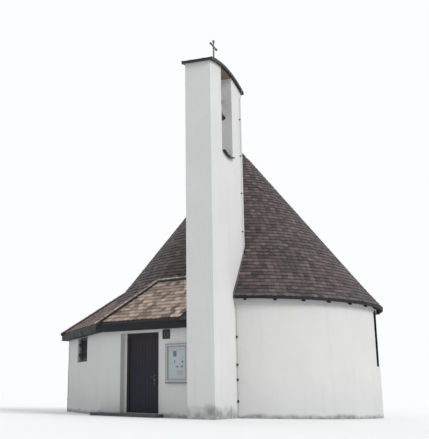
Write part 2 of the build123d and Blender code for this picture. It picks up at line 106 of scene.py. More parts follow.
def wall_frame(name):
    """Matrix from wall coordinates (x along, y up, z outward from the face) to the model's."""
    return axes(along(name), UP, outward(name) * WALLS[name]["wall"])


# The small slope behind the short ridge has no wall below it. It faces away from the front slope.
RIDGE_DISTANCE = WALLS["front"]["eave"] - (RIDGE_TOP - ANNEX_EAVE) / steepness("front")
REAR_REACH = 0.55
WALLS["ridge_back"] = {"turn": 200.2, "eave": REAR_REACH - RIDGE_DISTANCE, "pitch": 30.0}
WALLS["ridge_back"]["low"] = RIDGE_TOP - REAR_REACH * steepness("ridge_back")
print("ridge stands", round(RIDGE_DISTANCE, 3), "m from the nave's axis")

# %% [markdown]
# Shader maths reads best as plain expressions. A small class wraps a socket, so that 1 - mask or
# dirt * 0.4 adds the right Math node by itself. The Finish class holds one material, and its node method
# adds any other node: the settings first, then the values or links of its sockets.


# %% Shader values
class Socket:
    """A shader value that can be used in Python expressions."""

    def __init__(self, tree, socket):
        self.tree = tree
        self.socket = socket

    def maths(self, operation, first, second):
        node = self.tree.nodes.new("ShaderNodeMath")
        node.operation = operation
        for index, value in enumerate((first, second)):
            if isinstance(value, Socket):
                self.tree.links.new(value.socket, node.inputs[index])
            else:
                node.inputs[index].default_value = value
        return Socket(self.tree, node.outputs[0])

    def __add__(self, other):
        return self.maths("ADD", self, other)

    __radd__ = __add__

    def __mul__(self, other):
        return self.maths("MULTIPLY", self, other)

    __rmul__ = __mul__

    def __sub__(self, other):
        return self.maths("SUBTRACT", self, other)

    def __rsub__(self, other):
        return self.maths("SUBTRACT", other, self)

    def larger(self, other):
        return self.maths("MAXIMUM", self, other)


# %% Finish of one surface
class Finish:
    """A material under construction, with short calls for the nodes that it needs."""

    def __init__(self, name, roughness=0.6, metallic=0.0, **sockets):
        self.material = bpy.data.materials.new(name)
        self.material.use_nodes = True
        self.tree = self.material.node_tree
        self.shader = self.tree.nodes["Principled BSDF"]
        self.shader.inputs["Roughness"].default_value = roughness
        self.shader.inputs["Metallic"].default_value = metallic
        for key, value in sockets.items():
            self.shader.inputs[key.replace("_", " ")].default_value = value

    def node(self, kind, output=0, settings=None, **inputs):
        """Add any node: its settings first, then the values or links of its sockets."""
        node = self.tree.nodes.new(kind)
        for key, value in (settings or {}).items():
            setattr(node, key, value)
        for key, value in inputs.items():
            numbered = key[1:].isdigit()
            target = node.inputs[int(key[1:])] if numbered else node.inputs[key.replace("_", " ")]
            if isinstance(value, Socket):
                self.tree.links.new(value.socket, target)
            elif isinstance(value, tuple) and len(target.default_value) == 4:
                target.default_value = (*value, 1.0)
            else:
                target.default_value = value
        return Socket(self.tree, node.outputs[output])

    def place(self, scale=(1, 1, 1)):
        """Object coordinates, scaled."""
        coordinates = self.node("ShaderNodeTexCoord", output=3)
        return self.node("ShaderNodeMapping", Vector=coordinates, Scale=scale)

    def axis(self, index):
        """One of the three object coordinates."""
        return self.node("ShaderNodeSeparateXYZ", output=index, Vector=self.place())

    def noise(self, scale, detail=3.0, roughness=0.55, stretch=(1, 1, 1)):
        """Soft random patches, finer with a larger scale."""
        sizes = {"Scale": scale, "Detail": detail, "Roughness": roughness}
        return self.node("ShaderNodeTexNoise", Vector=self.place(stretch), **sizes)

    def step(self, value, low, high):
        """0 below low, 1 above high and a smooth change between."""
        smooth = {"interpolation_type": "SMOOTHSTEP"}
        return self.node("ShaderNodeMapRange", settings=smooth, Value=value, From_Min=low, From_Max=high)

    def colour(self, base, *layers):
        """Lay colours over a base colour, each by an amount of its own."""
        for amount, layer in layers:
            base = self.node("ShaderNodeMix", 2, {"data_type": "RGBA"}, _0=amount, _6=base, _7=layer)
        self.tree.links.new(base.socket, self.shader.inputs["Base Color"])

    def rough(self, value):
        """Drive the roughness."""
        self.tree.links.new(value.socket, self.shader.inputs["Roughness"])

    def bump(self, height, strength, distance):
        """Raise the surface a little by a value."""
        bumped = self.node("ShaderNodeBump", Height=height, Strength=strength, Distance=distance)
        self.tree.links.new(bumped.socket, self.shader.inputs["Normal"])


def two_tone(name, scale, dark, light, **sockets):
    """A material whose colour wanders between two tones."""
    finish = Finish(name, **sockets)
    finish.colour(dark, (finish.noise(scale), light))
    return finish.material


# %% [markdown]
# The walls carry a rough white render, thrown on, rubbed with a board and painted. Its look comes from
# four scales: grit that only shows in the bump, the board's shallow waves, soft cloudy patches with runs
# of rain under ledges, and the dirt that splashes up at the foot. The tower's foot is the dirtiest, so
# the height of that dirt is a value of the finish. Over the lowest metre or so the render is also painted
# darker and bluer: painted shade at the foot of the wall.


# %% White render
def white_render(name, foot, base=(0.62, 0.615, 0.60)):
    finish = Finish(name, roughness=0.9)
    height = finish.axis(2)
    clouds = finish.step(finish.noise(0.8, 4.0), 0.35, 0.7)
    runs = finish.step(finish.noise(2.4, 3.0, stretch=(1.7, 1.7, 0.14)), 0.55, 0.80)
    blotches = finish.step(finish.noise(2.1, 5.0, 0.65), 0.58, 0.72)
    ragged = finish.noise(1.5, 2.0, 0.5) * (foot * 2.4)
    mottle = finish.step(finish.noise(6.0, 3.0, 0.6), 0.35, 0.65)
    splash = (1 - finish.step(height + foot - ragged, foot * 0.10, foot * 1.30)) * (mottle * 0.4 + 0.6)
    # Painted shade: the render grows darker and bluer towards the foot of the wall.
    painted_foot_shade = 1 - finish.step(height, 0.1, 1.3)
    finish.colour(
        base,
        (clouds * 0.5, tuple(c * 0.91 for c in base)),
        (runs * 0.22, (0.44, 0.43, 0.40)),
        (blotches * 0.10, (0.46, 0.44, 0.41)),
        (painted_foot_shade * 0.22, (0.42, 0.44, 0.45)),
        (splash * 0.75, (0.105, 0.110, 0.095)),
    )
    grit = finish.noise(85, 5.0, 0.7) + finish.noise(11, 3.0) * 0.9
    finish.bump(grit, 0.6, 0.012)
    return finish.material


wall_finish = white_render("wall_render", foot=0.10)
tower_finish = white_render("tower_render", foot=0.27, base=(0.63, 0.625, 0.615))
print("walls get", wall_finish.name, "and", tower_finish.name)

# %% [markdown]
# The roofs are laid with small flat clay tiles. Each tile gets a tone of its own from a value stored on
# the mesh, as tiles from one kiln differ. A second value says how far up its tile a point lies, and the
# upper part, under the tail of the tile above, is darkened: soot, and a painted shadow of that tail. Over
# both, noise adds soot and pale lichen that ignore the tile edges. The clays are one clay painted in
# different light: dark purplish brown for the cone in shade, pale tan for the sunlit front slope and the
# hip tiles, and a mid brown for the slopes that the light only grazes.


# %% Clay tiles
def tile_clay(name, dark, light, soot_amount=0.35, lichen_amount=0.3):
    finish = Finish(name, roughness=0.82)
    tone = finish.node("ShaderNodeAttribute", output=2, settings={"attribute_name": "tile_tone"})
    rise = finish.node("ShaderNodeAttribute", output=2, settings={"attribute_name": "tile_rise"})
    soot = finish.step(finish.noise(0.9, 4.0), 0.42, 0.72)
    stains = finish.step(finish.noise(4.5, 4.0, stretch=(1, 1, 0.4)), 0.50, 0.72)
    lichen = finish.step(finish.noise(10.0, 5.0, 0.65), 0.59, 0.70)
    finish.colour(
        dark,
        (tone, light),
        # Painted shadow, with soot: the upper part of each tile, under the tail of the tile above, is
        # darkened.
        (finish.step(rise, 0.38, 0.80) * 0.7, tuple(c * 0.45 for c in dark)),
        (soot * soot_amount, (0.040, 0.032, 0.033)),
        (stains * 0.3, tuple(c * 0.6 for c in dark)),
        (lichen * lichen_amount, (0.36, 0.32, 0.27)),
    )
    finish.bump(finish.noise(60, 4.0), 0.4, 0.004)
    return finish.material


# Painted light and shade: one clay in lit and shaded copies, dark for the cone, pale for the front slope
# and hips.
shaded_cone_clay = tile_clay("shaded_cone_clay", (0.034, 0.026, 0.028), (0.130, 0.098, 0.094))
sunlit_front_clay = tile_clay("sunlit_front_clay", (0.200, 0.138, 0.110), (0.740, 0.580, 0.480), 0.12, 0.4)
grazed_side_clay = tile_clay("grazed_side_clay", (0.105, 0.070, 0.060), (0.330, 0.240, 0.205), 0.25, 0.3)
sunlit_ridge_clay = tile_clay("sunlit_ridge_clay", (0.250, 0.180, 0.150), (0.700, 0.560, 0.480), 0.10, 0.4)
under_roof = two_tone("roof_underlay", 3.0, (0.018, 0.016, 0.017), (0.034, 0.029, 0.028), roughness=0.9)
# Near black for painted shade: the hip's shadow seam is painted on its mortar bed.
seam_shade_mortar = two_tone("hip_shade_bed", 14.0, (0.016, 0.014, 0.015), (0.040, 0.034, 0.033), roughness=0.9)
print("tile tones run from dark brown to tan")

# %% [markdown]
# Dark painted boards finish the eaves, and dark sheet metal the sill and the cap. Paint in the weather
# loses its gloss unevenly, so noise drives the roughness more than the colour. The door's oak is nearly
# black, with a grain that runs up the boards: noise that is stretched along the height gives that.


# %% Dark paint, sheet and wood
def dark_paint(name, colour, roughness=0.45, metallic=0.0, wear=0.5):
    finish = Finish(name, roughness=roughness, metallic=metallic, Specular_IOR_Level=0.2)
    patches = finish.step(finish.noise(5.0, 4.0), 0.35, 0.7)
    worn = tuple(min(1.0, c * 1.6 + 0.008) for c in colour)
    finish.colour(colour, (patches * wear, worn))
    finish.rough(patches * 0.22 + (roughness - 0.08))
    finish.bump(finish.noise(35, 3.0), 0.12, 0.003)
    return finish.material


def plank_wood(name, dark, light, grain=(14, 14, 0.7), head=None):
    finish = Finish(name, roughness=0.6, Specular_IOR_Level=0.2)
    streaks = finish.noise(3.0, 6.0, 0.6, stretch=grain)
    patches = finish.step(finish.noise(1.3, 3.0), 0.3, 0.8)
    layers = [(streaks, light), (patches * 0.35, dark)]
    if head:
        low, high, sheltered = head
        layers.append((finish.step(finish.axis(2), low, high) * 0.7, sheltered))
    finish.colour(dark, *layers)
    finish.rough(streaks * 0.25 + 0.42)
    finish.bump(streaks, 0.3, 0.003)
    return finish.material


trim_paint = dark_paint("trim_paint", (0.011, 0.012, 0.016), roughness=0.65, wear=0.25)
window_paint = dark_paint("window_paint", (0.024, 0.024, 0.029))
cap_metal = dark_paint("cap_metal", (0.022, 0.021, 0.024), roughness=0.5, metallic=0.3)
lead_sheet = dark_paint("lead_sheet", (0.013, 0.014, 0.018), roughness=0.6)
wire_metal = dark_paint("wire_metal", (0.240, 0.240, 0.235), roughness=0.5, metallic=0.5)
iron_paint = dark_paint("iron_paint", (0.018, 0.018, 0.020), roughness=0.5, metallic=0.4)
pipe_paint = dark_paint("pipe_paint", (0.030, 0.036, 0.050), roughness=0.4, metallic=0.3)
cross_metal = dark_paint("cross_metal", (0.150, 0.130, 0.110), roughness=0.4, metallic=0.5)
rafter_wood = plank_wood("rafter_wood", (0.020, 0.015, 0.014), (0.050, 0.036, 0.028), (6, 6, 6))
door_wood = plank_wood(
    "door_wood", (0.009, 0.0105, 0.016), (0.021, 0.023, 0.032), head=(1.2, 2.3, (0.026, 0.018, 0.019))
)
frame_wood = plank_wood("frame_wood", (0.013, 0.013, 0.016), (0.028, 0.026, 0.030))
soffit_wood = plank_wood("soffit_wood", (0.150, 0.112, 0.080), (0.270, 0.210, 0.155), (1, 9, 9))
print("paints and woods are ready")

# %% Bronze, steel and glass
bronze = Finish("bell_bronze", roughness=0.42, metallic=0.9)
patina = bronze.step(bronze.noise(9.0, 4.0), 0.45, 0.7)
bronze.colour((0.085, 0.065, 0.045), (patina, (0.05, 0.062, 0.052)))
bronze.rough(patina * 0.3 + 0.35)
steel = two_tone(
    "handle_steel", 40.0, (0.075, 0.075, 0.080), (0.120, 0.118, 0.120), roughness=0.4, metallic=1.0
)
glass = two_tone("dark_glass", 2.0, (0.014, 0.016, 0.024), (0.035, 0.038, 0.048), roughness=0.08)
clear_glass = two_tone(
    "board_glass", 2.0, (0.50, 0.54, 0.56), (0.62, 0.66, 0.68), roughness=0.05, Alpha=0.12
)
print("metals and glass are ready")


# %% Stone and painted board
def stone(name, dark, light):
    finish = Finish(name, roughness=0.85)
    clouds = finish.noise(6.0, 5.0, 0.6)
    specks = finish.step(finish.noise(90, 2.0), 0.55, 0.7)
    finish.colour(dark, (clouds, light), (specks * 0.3, dark))
    finish.bump(clouds + finish.noise(60, 4.0) * 0.5, 0.35, 0.005)
    return finish.material


floor_stone = stone("floor_stone", (0.20, 0.19, 0.18), (0.36, 0.35, 0.33))
# Dark bluish grey: painted shade of the step, with some dirt.
step_stone = stone("step_stone", (0.030, 0.036, 0.042), (0.105, 0.112, 0.122))
board_paint = dark_paint("board_paint", (0.47, 0.47, 0.455), roughness=0.5, wear=0.12)
bead_paint = dark_paint("bead_paint", (0.230, 0.233, 0.235), roughness=0.5, wear=0.15)
panel_paint = dark_paint("panel_paint", (0.44, 0.51, 0.54), roughness=0.6, wear=0.08)
enamel = dark_paint("plaque_enamel", (0.40, 0.41, 0.44), roughness=0.35, wear=0.15)
plate_paint = dark_paint("plate_paint", (0.030, 0.029, 0.033), roughness=0.5)
ring_paint = dark_paint("ring_paint", (0.130, 0.132, 0.145), roughness=0.45, wear=0.15)
print("stone and boards are ready")

# %% [markdown]
# Every CAD node keeps its mesh and only gets its finish. The table pairs each finish with the nodes that
# wear it, and the loop reports any node that was forgotten.

# %% Dress the CAD nodes
CONE_NODES = [f"cone_roof_{number}" for number in range(1, 5)]
ANNEX_NODES = [f"annex_roof_{side}" for side in ("front", "side", "back")]
TOWER_PARTS = ("front_wall", "back_wall", "left_wall", "right_wall", "front_pier", "back_pier")
ANNEX_WALLS = ["front_wall_left", "front_wall_right", "door_lintel", "side_wall", "annex_back_wall"]
node_finish = {
    wall_finish: ["ring_beam", *[f"nave_wall_{number}" for number in range(1, 5)], *ANNEX_WALLS],
    tower_finish: ["belfry_floor", *[f"tower_{part}" for part in TOWER_PARTS]],
    under_roof: CONE_NODES + ANNEX_NODES,
    trim_paint: ["eave_board", "annex_eaves"],
    pipe_paint: ["rainwater_pipe"],
    cap_metal: ["tower_cap", "sill_flashing"],
    cross_metal: ["tower_cross"],
    rafter_wood: ["rafter_tails"],
    floor_stone: ["nave_floor", "annex_floor"],
    step_stone: ["entrance_step"],
    frame_wood: ["door_frame"],
    door_wood: ["door_leaf"],
    bronze.material: ["bell"],
    iron_paint: ["bell_clapper", "bell_headstock", "bell_bearings", "door_hinges", "door_pintles"],
    steel: ["door_handle"],
    window_paint: ["window_frame", "nave_window_frame"],
    glass: ["window_pane", "nave_window_pane"],
    clear_glass: ["notice_board_glass"],
    board_paint: ["notice_board"],
    plate_paint: ["wall_plaque"],
}
dressed = set()
for material, names in node_finish.items():
    for name in names:
        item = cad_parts[name]
        item.data.materials.clear()
        item.data.materials.append(material)
        dressed.add(name)
print("dressed", len(dressed), "nodes; left over:", sorted(set(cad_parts) - dressed))

# %% [markdown]
# Two helpers turn a finished bmesh into an object that sits at the origin, has its finish and rides on a
# body of the CAD model. Others pick parts of a mesh, and add the shapes that many pieces share: an eased
# block, a round bar, and a profile that is spun round a vertical axis.


# %% Make a piece
def make_object(name, bm, material):
    """An object at the origin from a finished bmesh."""
    bmesh.ops.remove_doubles(bm, verts=bm.verts, dist=0.00001)
    bmesh.ops.recalc_face_normals(bm, faces=bm.faces)
    mesh = bpy.data.meshes.new(name)
    bm.to_mesh(mesh)
    bm.free()
    mesh.materials.append(material)
    item = bpy.data.objects.new(name, mesh)
    bpy.context.collection.objects.link(item)
    return item


def make_piece(name, bm, material, body="building", smooth=None, matrix=None):
    """A piece that rides on a body, moved into the model by a matrix."""
    if matrix is not None:
        bmesh.ops.transform(bm, matrix=matrix, verts=bm.verts)
    piece = make_object(name, bm, material)
    if smooth:
        piece.data.shade_smooth()
        piece.data.set_sharp_from_angle(angle=math.radians(smooth))
    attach(piece, body)
    print(name, len(piece.data.polygons), "faces")
    return piece


# %% Parts of a mesh
def linked(items, kind):
    """What hangs on some parts of a mesh, such as their link_edges, each once and in order."""
    return list(dict.fromkeys(part for item in items for part in getattr(item, kind)))


def geometry(verts):
    """The vertices with every edge and face on them."""
    return [*verts, *linked(verts, "link_edges"), *linked(verts, "link_faces")]


def only_verts(parts):
    """The vertices among the parts that an operator made."""
    return [part for part in parts if isinstance(part, bmesh.types.BMVert)]


def cut(bm, point, direction, fill=True):
    """Remove what lies beyond a plane, on the side that the direction points to."""
    everything = bm.verts[:] + bm.edges[:] + bm.faces[:]
    rim = bmesh.ops.bisect_plane(
        bm, geom=everything, plane_co=point, plane_no=direction, clear_outer=True
    )["geom_cut"]
    if fill:
        bmesh.ops.holes_fill(bm, edges=[part for part in rim if isinstance(part, bmesh.types.BMEdge)])


# %% Blocks, bars and rings
def add_block(bm, low, high, matrix=None, bevel=0.0):
    """A box between two corners, with its edges eased."""
    size = Vector(high) - Vector(low)
    centre = (Vector(high) + Vector(low)) / 2
    place = Matrix.Translation(centre) @ Matrix.Diagonal((*size, 1))
    verts = bmesh.ops.create_cube(bm, size=1, matrix=place)["verts"]
    if bevel:
        edges = linked(verts, "link_edges")
        bevelled = bmesh.ops.bevel(
            bm, geom=edges, offset=bevel, segments=1, profile=0.5, affect="EDGES", material=-1
        )
        verts = linked(bevelled["faces"], "verts")
    if matrix is not None:
        bmesh.ops.transform(bm, matrix=matrix, verts=verts)


def add_rod(bm, start, end, radius, sides):
    """A round bar from one point to another."""
    start, end = Vector(start), Vector(end)
    turn = (end - start).to_track_quat("Z", "Y").to_matrix().to_4x4()
    place = Matrix.Translation((start + end) / 2) @ turn
    size = {"radius1": radius, "radius2": radius, "depth": (end - start).length}
    bmesh.ops.create_cone(bm, cap_ends=True, segments=sides, matrix=place, **size)


def add_turned(bm, profile, steps, closed=True):
    """A profile of radii and heights, spun once round the vertical axis."""
    points = [bm.verts.new((radius, 0, height)) for radius, height in profile]
    following = points[1:] + points[:1] if closed else points[1:]
    edges = [bm.edges.new(pair) for pair in zip(points, following)]
    bmesh.ops.spin(
        bm, geom=points + edges, cent=(0, 0, 0), axis=UP, angle=2 * math.pi, steps=steps, use_merge=True
    )


# %% [markdown]
# One roof tile. It is a thin wedge with a rounded tail: an outline of a few vertices, thicker and higher
# at the tail, where it lies on the course below. It is a closed body, so that its edge casts a real
# shadow. The courses show 145 mm of each tile, as counted on the photograph, and a tile is 180 mm wide.

# %% Roof tile
TILE_WIDTH, TILE_SHOW, TILE_LAP, TILE_GAP = 0.180, 0.145, 0.03, 0.004
TAIL_DROP, TAIL_STEPS = 0.026, 4
TAIL_TOP, TAIL_BOTTOM = 0.030, 0.011
HEAD_TOP, HEAD_BOTTOM = 0.009, 0.002


def new_tiles():
    """An empty bmesh with a tone for each face and a rise for each vertex."""
    bm = bmesh.new()
    bm.faces.layers.float.new("tile_tone")
    bm.verts.layers.float.new("tile_rise")
    return bm


def roof_tile(bm, half_low, half_high):
    """A tile in slope coordinates: x across, y up the slope from its tail, z off the roof."""
    rise = bm.verts.layers.float["tile_rise"]
    head = TILE_SHOW + TILE_LAP
    outline = [bm.verts.new((side * half_high, head, HEAD_TOP)) for side in (1, -1)]
    for vert in outline:
        vert[rise] = 1.0
    for number in range(TAIL_STEPS + 1):
        turn = math.pi * number / TAIL_STEPS
        outline.append(bm.verts.new((-half_low * math.cos(turn), -TAIL_DROP * math.sin(turn), TAIL_TOP)))
    lower = only_verts(bmesh.ops.extrude_face_region(bm, geom=[bm.faces.new(outline)])["geom"])
    for vert in lower:
        vert.co.z = HEAD_BOTTOM if vert.co.y > TILE_SHOW else TAIL_BOTTOM
    return outline + lower


test_tile = new_tiles()
roof_tile(test_tile, TILE_WIDTH / 2, TILE_WIDTH / 2)
print("a tile has", len(test_tile.faces), "faces, closed:", all(e.is_manifold for e in test_tile.edges))
test_tile.free()

# %% [markdown]
# Tiles are laid over the whole slope and then sorted, as a tiler would cut them. A ray cast straight down
# on the CAD's roof shells tells whether a tile has its own roof below it, and whether another roof covers
# it. The shells have a hole where the tower stands, so no tile stays there. Each tile that stays gets one
# tone and is lifted a little, because no old roof is quite even.

# %% Sort tiles
COVER_SLACK, OFF_ROOF = 0.02, 0.09
TONE_MIDDLE, TONE_SPREAD, UNEVENNESS = 0.44, 0.30, 0.009
luck = random.Random(7)


def roof_height(names, x, y):
    """Height of the highest of some CAD nodes at a point in plan, or None where they have a hole."""
    start = Vector((x, y, APEX + 1))
    found = [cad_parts[name].ray_cast(start, -UP) for name in names]
    return max((place.z for hit, place, _, _ in found if hit), default=None)


def islands(bm):
    """Groups of connected faces."""
    seen = set()
    for first in bm.faces:
        if first in seen:
            continue
        seen.add(first)
        group = [first]
        for face in group:
            new = [other for other in linked(face.edges, "link_faces") if other not in seen]
            seen.update(new)
            group.extend(new)
        yield group


def sort_tiles(bm, own, others):
    """Take out tiles without their own roof below or with another above, and tone the rest."""
    layer = bm.faces.layers.float["tile_tone"]
    gone, kept = [], 0
    for group in islands(bm):
        verts = linked(group, "verts")
        centre = sum((vert.co for vert in verts), Vector()) / len(verts)
        base = roof_height(own, centre.x, centre.y)
        cover = roof_height(others, centre.x, centre.y)
        covered = cover is not None and centre.z < cover - COVER_SLACK
        if base is None or abs(centre.z - base) > OFF_ROOF or covered:
            gone.extend(verts)
            continue
        kept += 1
        tone = min(1.0, max(0.0, luck.gauss(TONE_MIDDLE, TONE_SPREAD)))
        lift = Vector((0, 0, luck.uniform(0, UNEVENNESS)))
        for face in group:
            face[layer] = tone
        for vert in verts:
            vert.co += lift
    bmesh.ops.delete(bm, geom=gone, context="VERTS")
    return kept


# %% [markdown]
# On the cone each course is a ring. One tile is set at its place on the slope, and bmesh's spin repeats
# it round the nave's axis. Every second course is shifted by half a tile. The roof's line is straight
# from the tip and runs out in a slight bell-cast arc above the eave, and the courses follow it.


# %% Cone tiles
def cone_point(distance):
    """Radius, height and pitch on the roof's line, at a distance up the slope from the eave."""
    knee_height = APEX - KNEE_RADIUS * math.tan(CONE_PITCH)
    chord = Vector((EAVE_RADIUS - KNEE_RADIUS, EAVE_TOP - knee_height))
    bend = 2 * (CONE_PITCH - math.atan2(-chord.y, chord.x))
    radius = chord.length / 2 / math.sin(bend / 2)
    arc = radius * bend
    if distance >= arc:
        rest = distance - arc
        height = knee_height + rest * math.sin(CONE_PITCH)
        return KNEE_RADIUS - rest * math.cos(CONE_PITCH), height, CONE_PITCH
    pitch = CONE_PITCH - bend * (1 - distance / arc)
    centre_x = KNEE_RADIUS + radius * math.sin(CONE_PITCH)
    centre_y = knee_height + radius * math.cos(CONE_PITCH)
    return centre_x - radius * math.sin(pitch), centre_y - radius * math.cos(pitch), pitch


TIP_RADIUS, FEWEST_IN_RING = 0.17, 9


def cone_course(bm, distance, number):
    """One ring of tiles with their tails at a distance up the slope."""
    radius, height, pitch = cone_point(distance)
    top_radius = cone_point(distance + TILE_SHOW + TILE_LAP)[0]
    count = max(FEWEST_IN_RING, round(2 * math.pi * radius / TILE_WIDTH))
    half_low, half_high = (math.pi * size / count - TILE_GAP / 2 for size in (radius, top_radius))
    verts = roof_tile(bm, half_low, half_high)
    uphill = Vector((-math.cos(pitch), 0, math.sin(pitch)))
    place = axes(Vector((0, 1, 0)), uphill, (radius, 0, height))
    shift = Matrix.Rotation((number % 2) * math.pi / count, 4, "Z")
    bmesh.ops.transform(bm, matrix=shift @ place, verts=verts)
    angle = 2 * math.pi * (count - 1) / count
    bmesh.ops.spin(
        bm, geom=geometry(verts), cent=(0, 0, 0), axis=UP, angle=angle, steps=count - 1,
        use_duplicate=True, use_merge=False,
    )


cone_tiles = new_tiles()
courses = 0
while cone_point((courses + 1) * TILE_SHOW)[0] > TIP_RADIUS:
    cone_course(cone_tiles, courses * TILE_SHOW, courses)
    courses += 1
print("cone courses", courses, "tiles", sort_tiles(cone_tiles, CONE_NODES, ANNEX_NODES))
make_piece("cone_tiles", cone_tiles, shaded_cone_clay)

# %% [markdown]
# The anteroom's slopes are flat, so their tiles lie in straight courses: one tile is duplicated along
# the course and the course up the slope. Planes through the hips and the tower's face cut the field to
# size, as a tiler cuts the last tile of each course.


# %% Anteroom slopes
def slope_frame(name):
    """Matrix from slope coordinates (x along the eave, y up the slope, z off it) to the model's."""
    pitch = math.radians(WALLS[name]["pitch"])
    uphill = outward(name) * -math.cos(pitch) + UP * math.sin(pitch)
    return axes(along(name), uphill, outward(name) * WALLS[name]["eave"] + UP * WALLS[name]["low"])


def fall(name):
    """A slope's gradient in plan and its height where it passes the nave's axis."""
    return outward(name) * steepness(name), WALLS[name]["low"] + WALLS[name]["eave"] * steepness(name)


def cut_at_hip(bm, kept, other):
    """Cut the tiles of one slope at the hip that it shares with another."""
    kept_fall, kept_height = fall(kept)
    other_fall, other_height = fall(other)
    across = other_fall - kept_fall
    cut(bm, across * ((other_height - kept_height) / across.length_squared), across)


def repeat(bm, count, offset):
    """Copy all that a bmesh holds, until it is there count times, each at an offset of its own."""
    everything = bm.verts[:] + bm.edges[:] + bm.faces[:]
    for number in range(1, count):
        copied = bmesh.ops.duplicate(bm, geom=everything)["geom"]
        bmesh.ops.translate(bm, verts=only_verts(copied), vec=offset(number))


def tiled_slope(name, own, left, right, length, hips):
    """A field of tiles between two places along the eave, cut at its hips and at the tower."""
    bm = new_tiles()
    half = (TILE_WIDTH - TILE_GAP) / 2
    roof_tile(bm, half, half)
    repeat(bm, round((right - left) / TILE_WIDTH), lambda column: (column * TILE_WIDTH, 0, 0))
    repeat(bm, round(length / TILE_SHOW), lambda row: ((row % 2) * TILE_WIDTH / 2, row * TILE_SHOW, 0))
    bmesh.ops.translate(bm, verts=bm.verts, vec=(left, 0, 0))
    bmesh.ops.transform(bm, matrix=slope_frame(name), verts=bm.verts)
    print(name, "slope tiles", sort_tiles(bm, [own], CONE_NODES))
    for other in hips:
        cut_at_hip(bm, name, other)
    if name in ("front", "ridge_back"):
        cut(bm, (TOWER_LEFT, 0, 0), (1, 0, 0))
    return bm


SLOPES = {
    "front": ("annex_roof_front", -1.7, 2.5, 1.93, ["side"]),
    "side": ("annex_roof_side", -3.5, 2.7, 3.0, ["front", "back"]),
    "back": ("annex_roof_back", 0.4, 6.0, 3.0, ["side"]),
    "ridge_back": ("annex_roof_front", -2.2, 0.3, 0.63, ["side"]),
}
for slope, values in SLOPES.items():
    clay = sunlit_front_clay if slope == "front" else grazed_side_clay
    make_piece(f"{slope}_slope_tiles", tiled_slope(slope, *values), clay)

# %% [markdown]
# Hips and the short ridge are covered with half-round tiles bedded in mortar. One is a tapered tube whose
# lower part is cut away and whose wall gets its thickness. It is repeated along the line between two
# points. The mortar is one low bar under each line, wider on one side, and it is painted near black: its
# dark seam beside the hip is painted shadow.

# %% Hip and ridge tiles
CAP_RADIUS, CAP_TAPER, CAP_LENGTH, CAP_SHOW = 0.060, 0.74, 0.24, 0.18
CAP_WALL, CAP_CUT, CAP_LIFT, CAP_TILT = 0.010, -0.02, 0.028, -1.5
BED_LEFT, BED_RIGHT, BED_LOW, BED_HIGH = -0.045, 0.095, -0.05, 0.030
BACK_HIP_TOP, REAR_HIP_FOOT, HIP_FOOT_RISE = 3.93, 3.76, 0.02


def meeting(first, second, height):
    """The point in plan where two slopes have the same height."""
    (a, a_height), (b, b_height) = fall(first), fall(second)
    place = Matrix((a.xy, b.xy)).inverted() @ Vector((a_height - height, b_height - height))
    return Vector((*place, height))


def line_frame(start, end):
    """Matrix with y along a line, x level and z off the roof."""
    forward = (end - start).normalized()
    return axes(forward.cross(UP).normalized(), forward, start)


def cap_tiles(bm, start, end):
    """Half-round tiles from a low point to a high one, each lapping over the one below."""
    run = end - start
    count = max(1, round(run.length / CAP_SHOW))
    lying = Matrix.Translation((0, CAP_LENGTH / 2, 0)) @ Matrix.Rotation(-math.pi / 2, 4, "X")
    lifted = Matrix.Translation((0, 0, CAP_LIFT)) @ Matrix.Rotation(math.radians(CAP_TILT), 4, "X")
    size = {"radius1": CAP_RADIUS, "radius2": CAP_RADIUS * CAP_TAPER, "depth": CAP_LENGTH}
    for number in range(count):
        tile = new_tiles()
        bmesh.ops.create_cone(tile, cap_ends=False, segments=16, matrix=lying, **size)
        # The rise darkens each cap's upper part in its clay: painted shade, with soot, under the cap that
        # laps over it.
        for vert in tile.verts:
            vert[tile.verts.layers.float["tile_rise"]] = vert.co.y / CAP_LENGTH
        cut(tile, (0, 0, CAP_CUT), (0, 0, -1), fill=False)
        bmesh.ops.recalc_face_normals(tile, faces=tile.faces)
        bmesh.ops.solidify(tile, geom=tile.faces[:], thickness=CAP_WALL)
        place = line_frame(start + run * (number / count), end + run)
        bmesh.ops.transform(tile, matrix=place @ lifted, verts=tile.verts)
        tone = luck.uniform(0.1, 0.95)
        for face in tile.faces:
            face[tile.faces.layers.float["tile_tone"]] = tone
        mesh = bpy.data.meshes.new("cap_tile")
        tile.to_mesh(mesh)
        tile.free()
        bm.from_mesh(mesh)
        bpy.data.meshes.remove(mesh)


ridge_left = meeting("front", "side", RIDGE_TOP)
ridge_right = outward("front") * RIDGE_DISTANCE + UP * RIDGE_TOP
ridge_right += along("front") * ((TOWER_LEFT - ridge_right.x) / along("front").x)
HIP_LINES = [
    (meeting("front", "side", ANNEX_EAVE) + UP * HIP_FOOT_RISE, ridge_left),
    (meeting("side", "back", ANNEX_EAVE) + UP * HIP_FOOT_RISE, meeting("side", "back", BACK_HIP_TOP)),
    (meeting("side", "ridge_back", REAR_HIP_FOOT), ridge_left),
    (ridge_left, ridge_right),
]
hips, beds = new_tiles(), bmesh.new()
for start, end in HIP_LINES:
    cap_tiles(hips, start, end)
    high = (BED_RIGHT, (end - start).length, BED_HIGH)
    add_block(beds, (BED_LEFT, 0, BED_LOW), high, line_frame(start, end), bevel=0.012)
for part in (hips, beds):
    cut(part, (TOWER_LEFT, 0, 0), (1, 0, 0))
make_piece("hip_tiles", hips, sunlit_ridge_clay, smooth=40)
make_piece("hip_shade_bed", beds, seam_shade_mortar)
print("ridge from", [round(v, 2) for v in ridge_left], "to", [round(v, 2) for v in ridge_right])

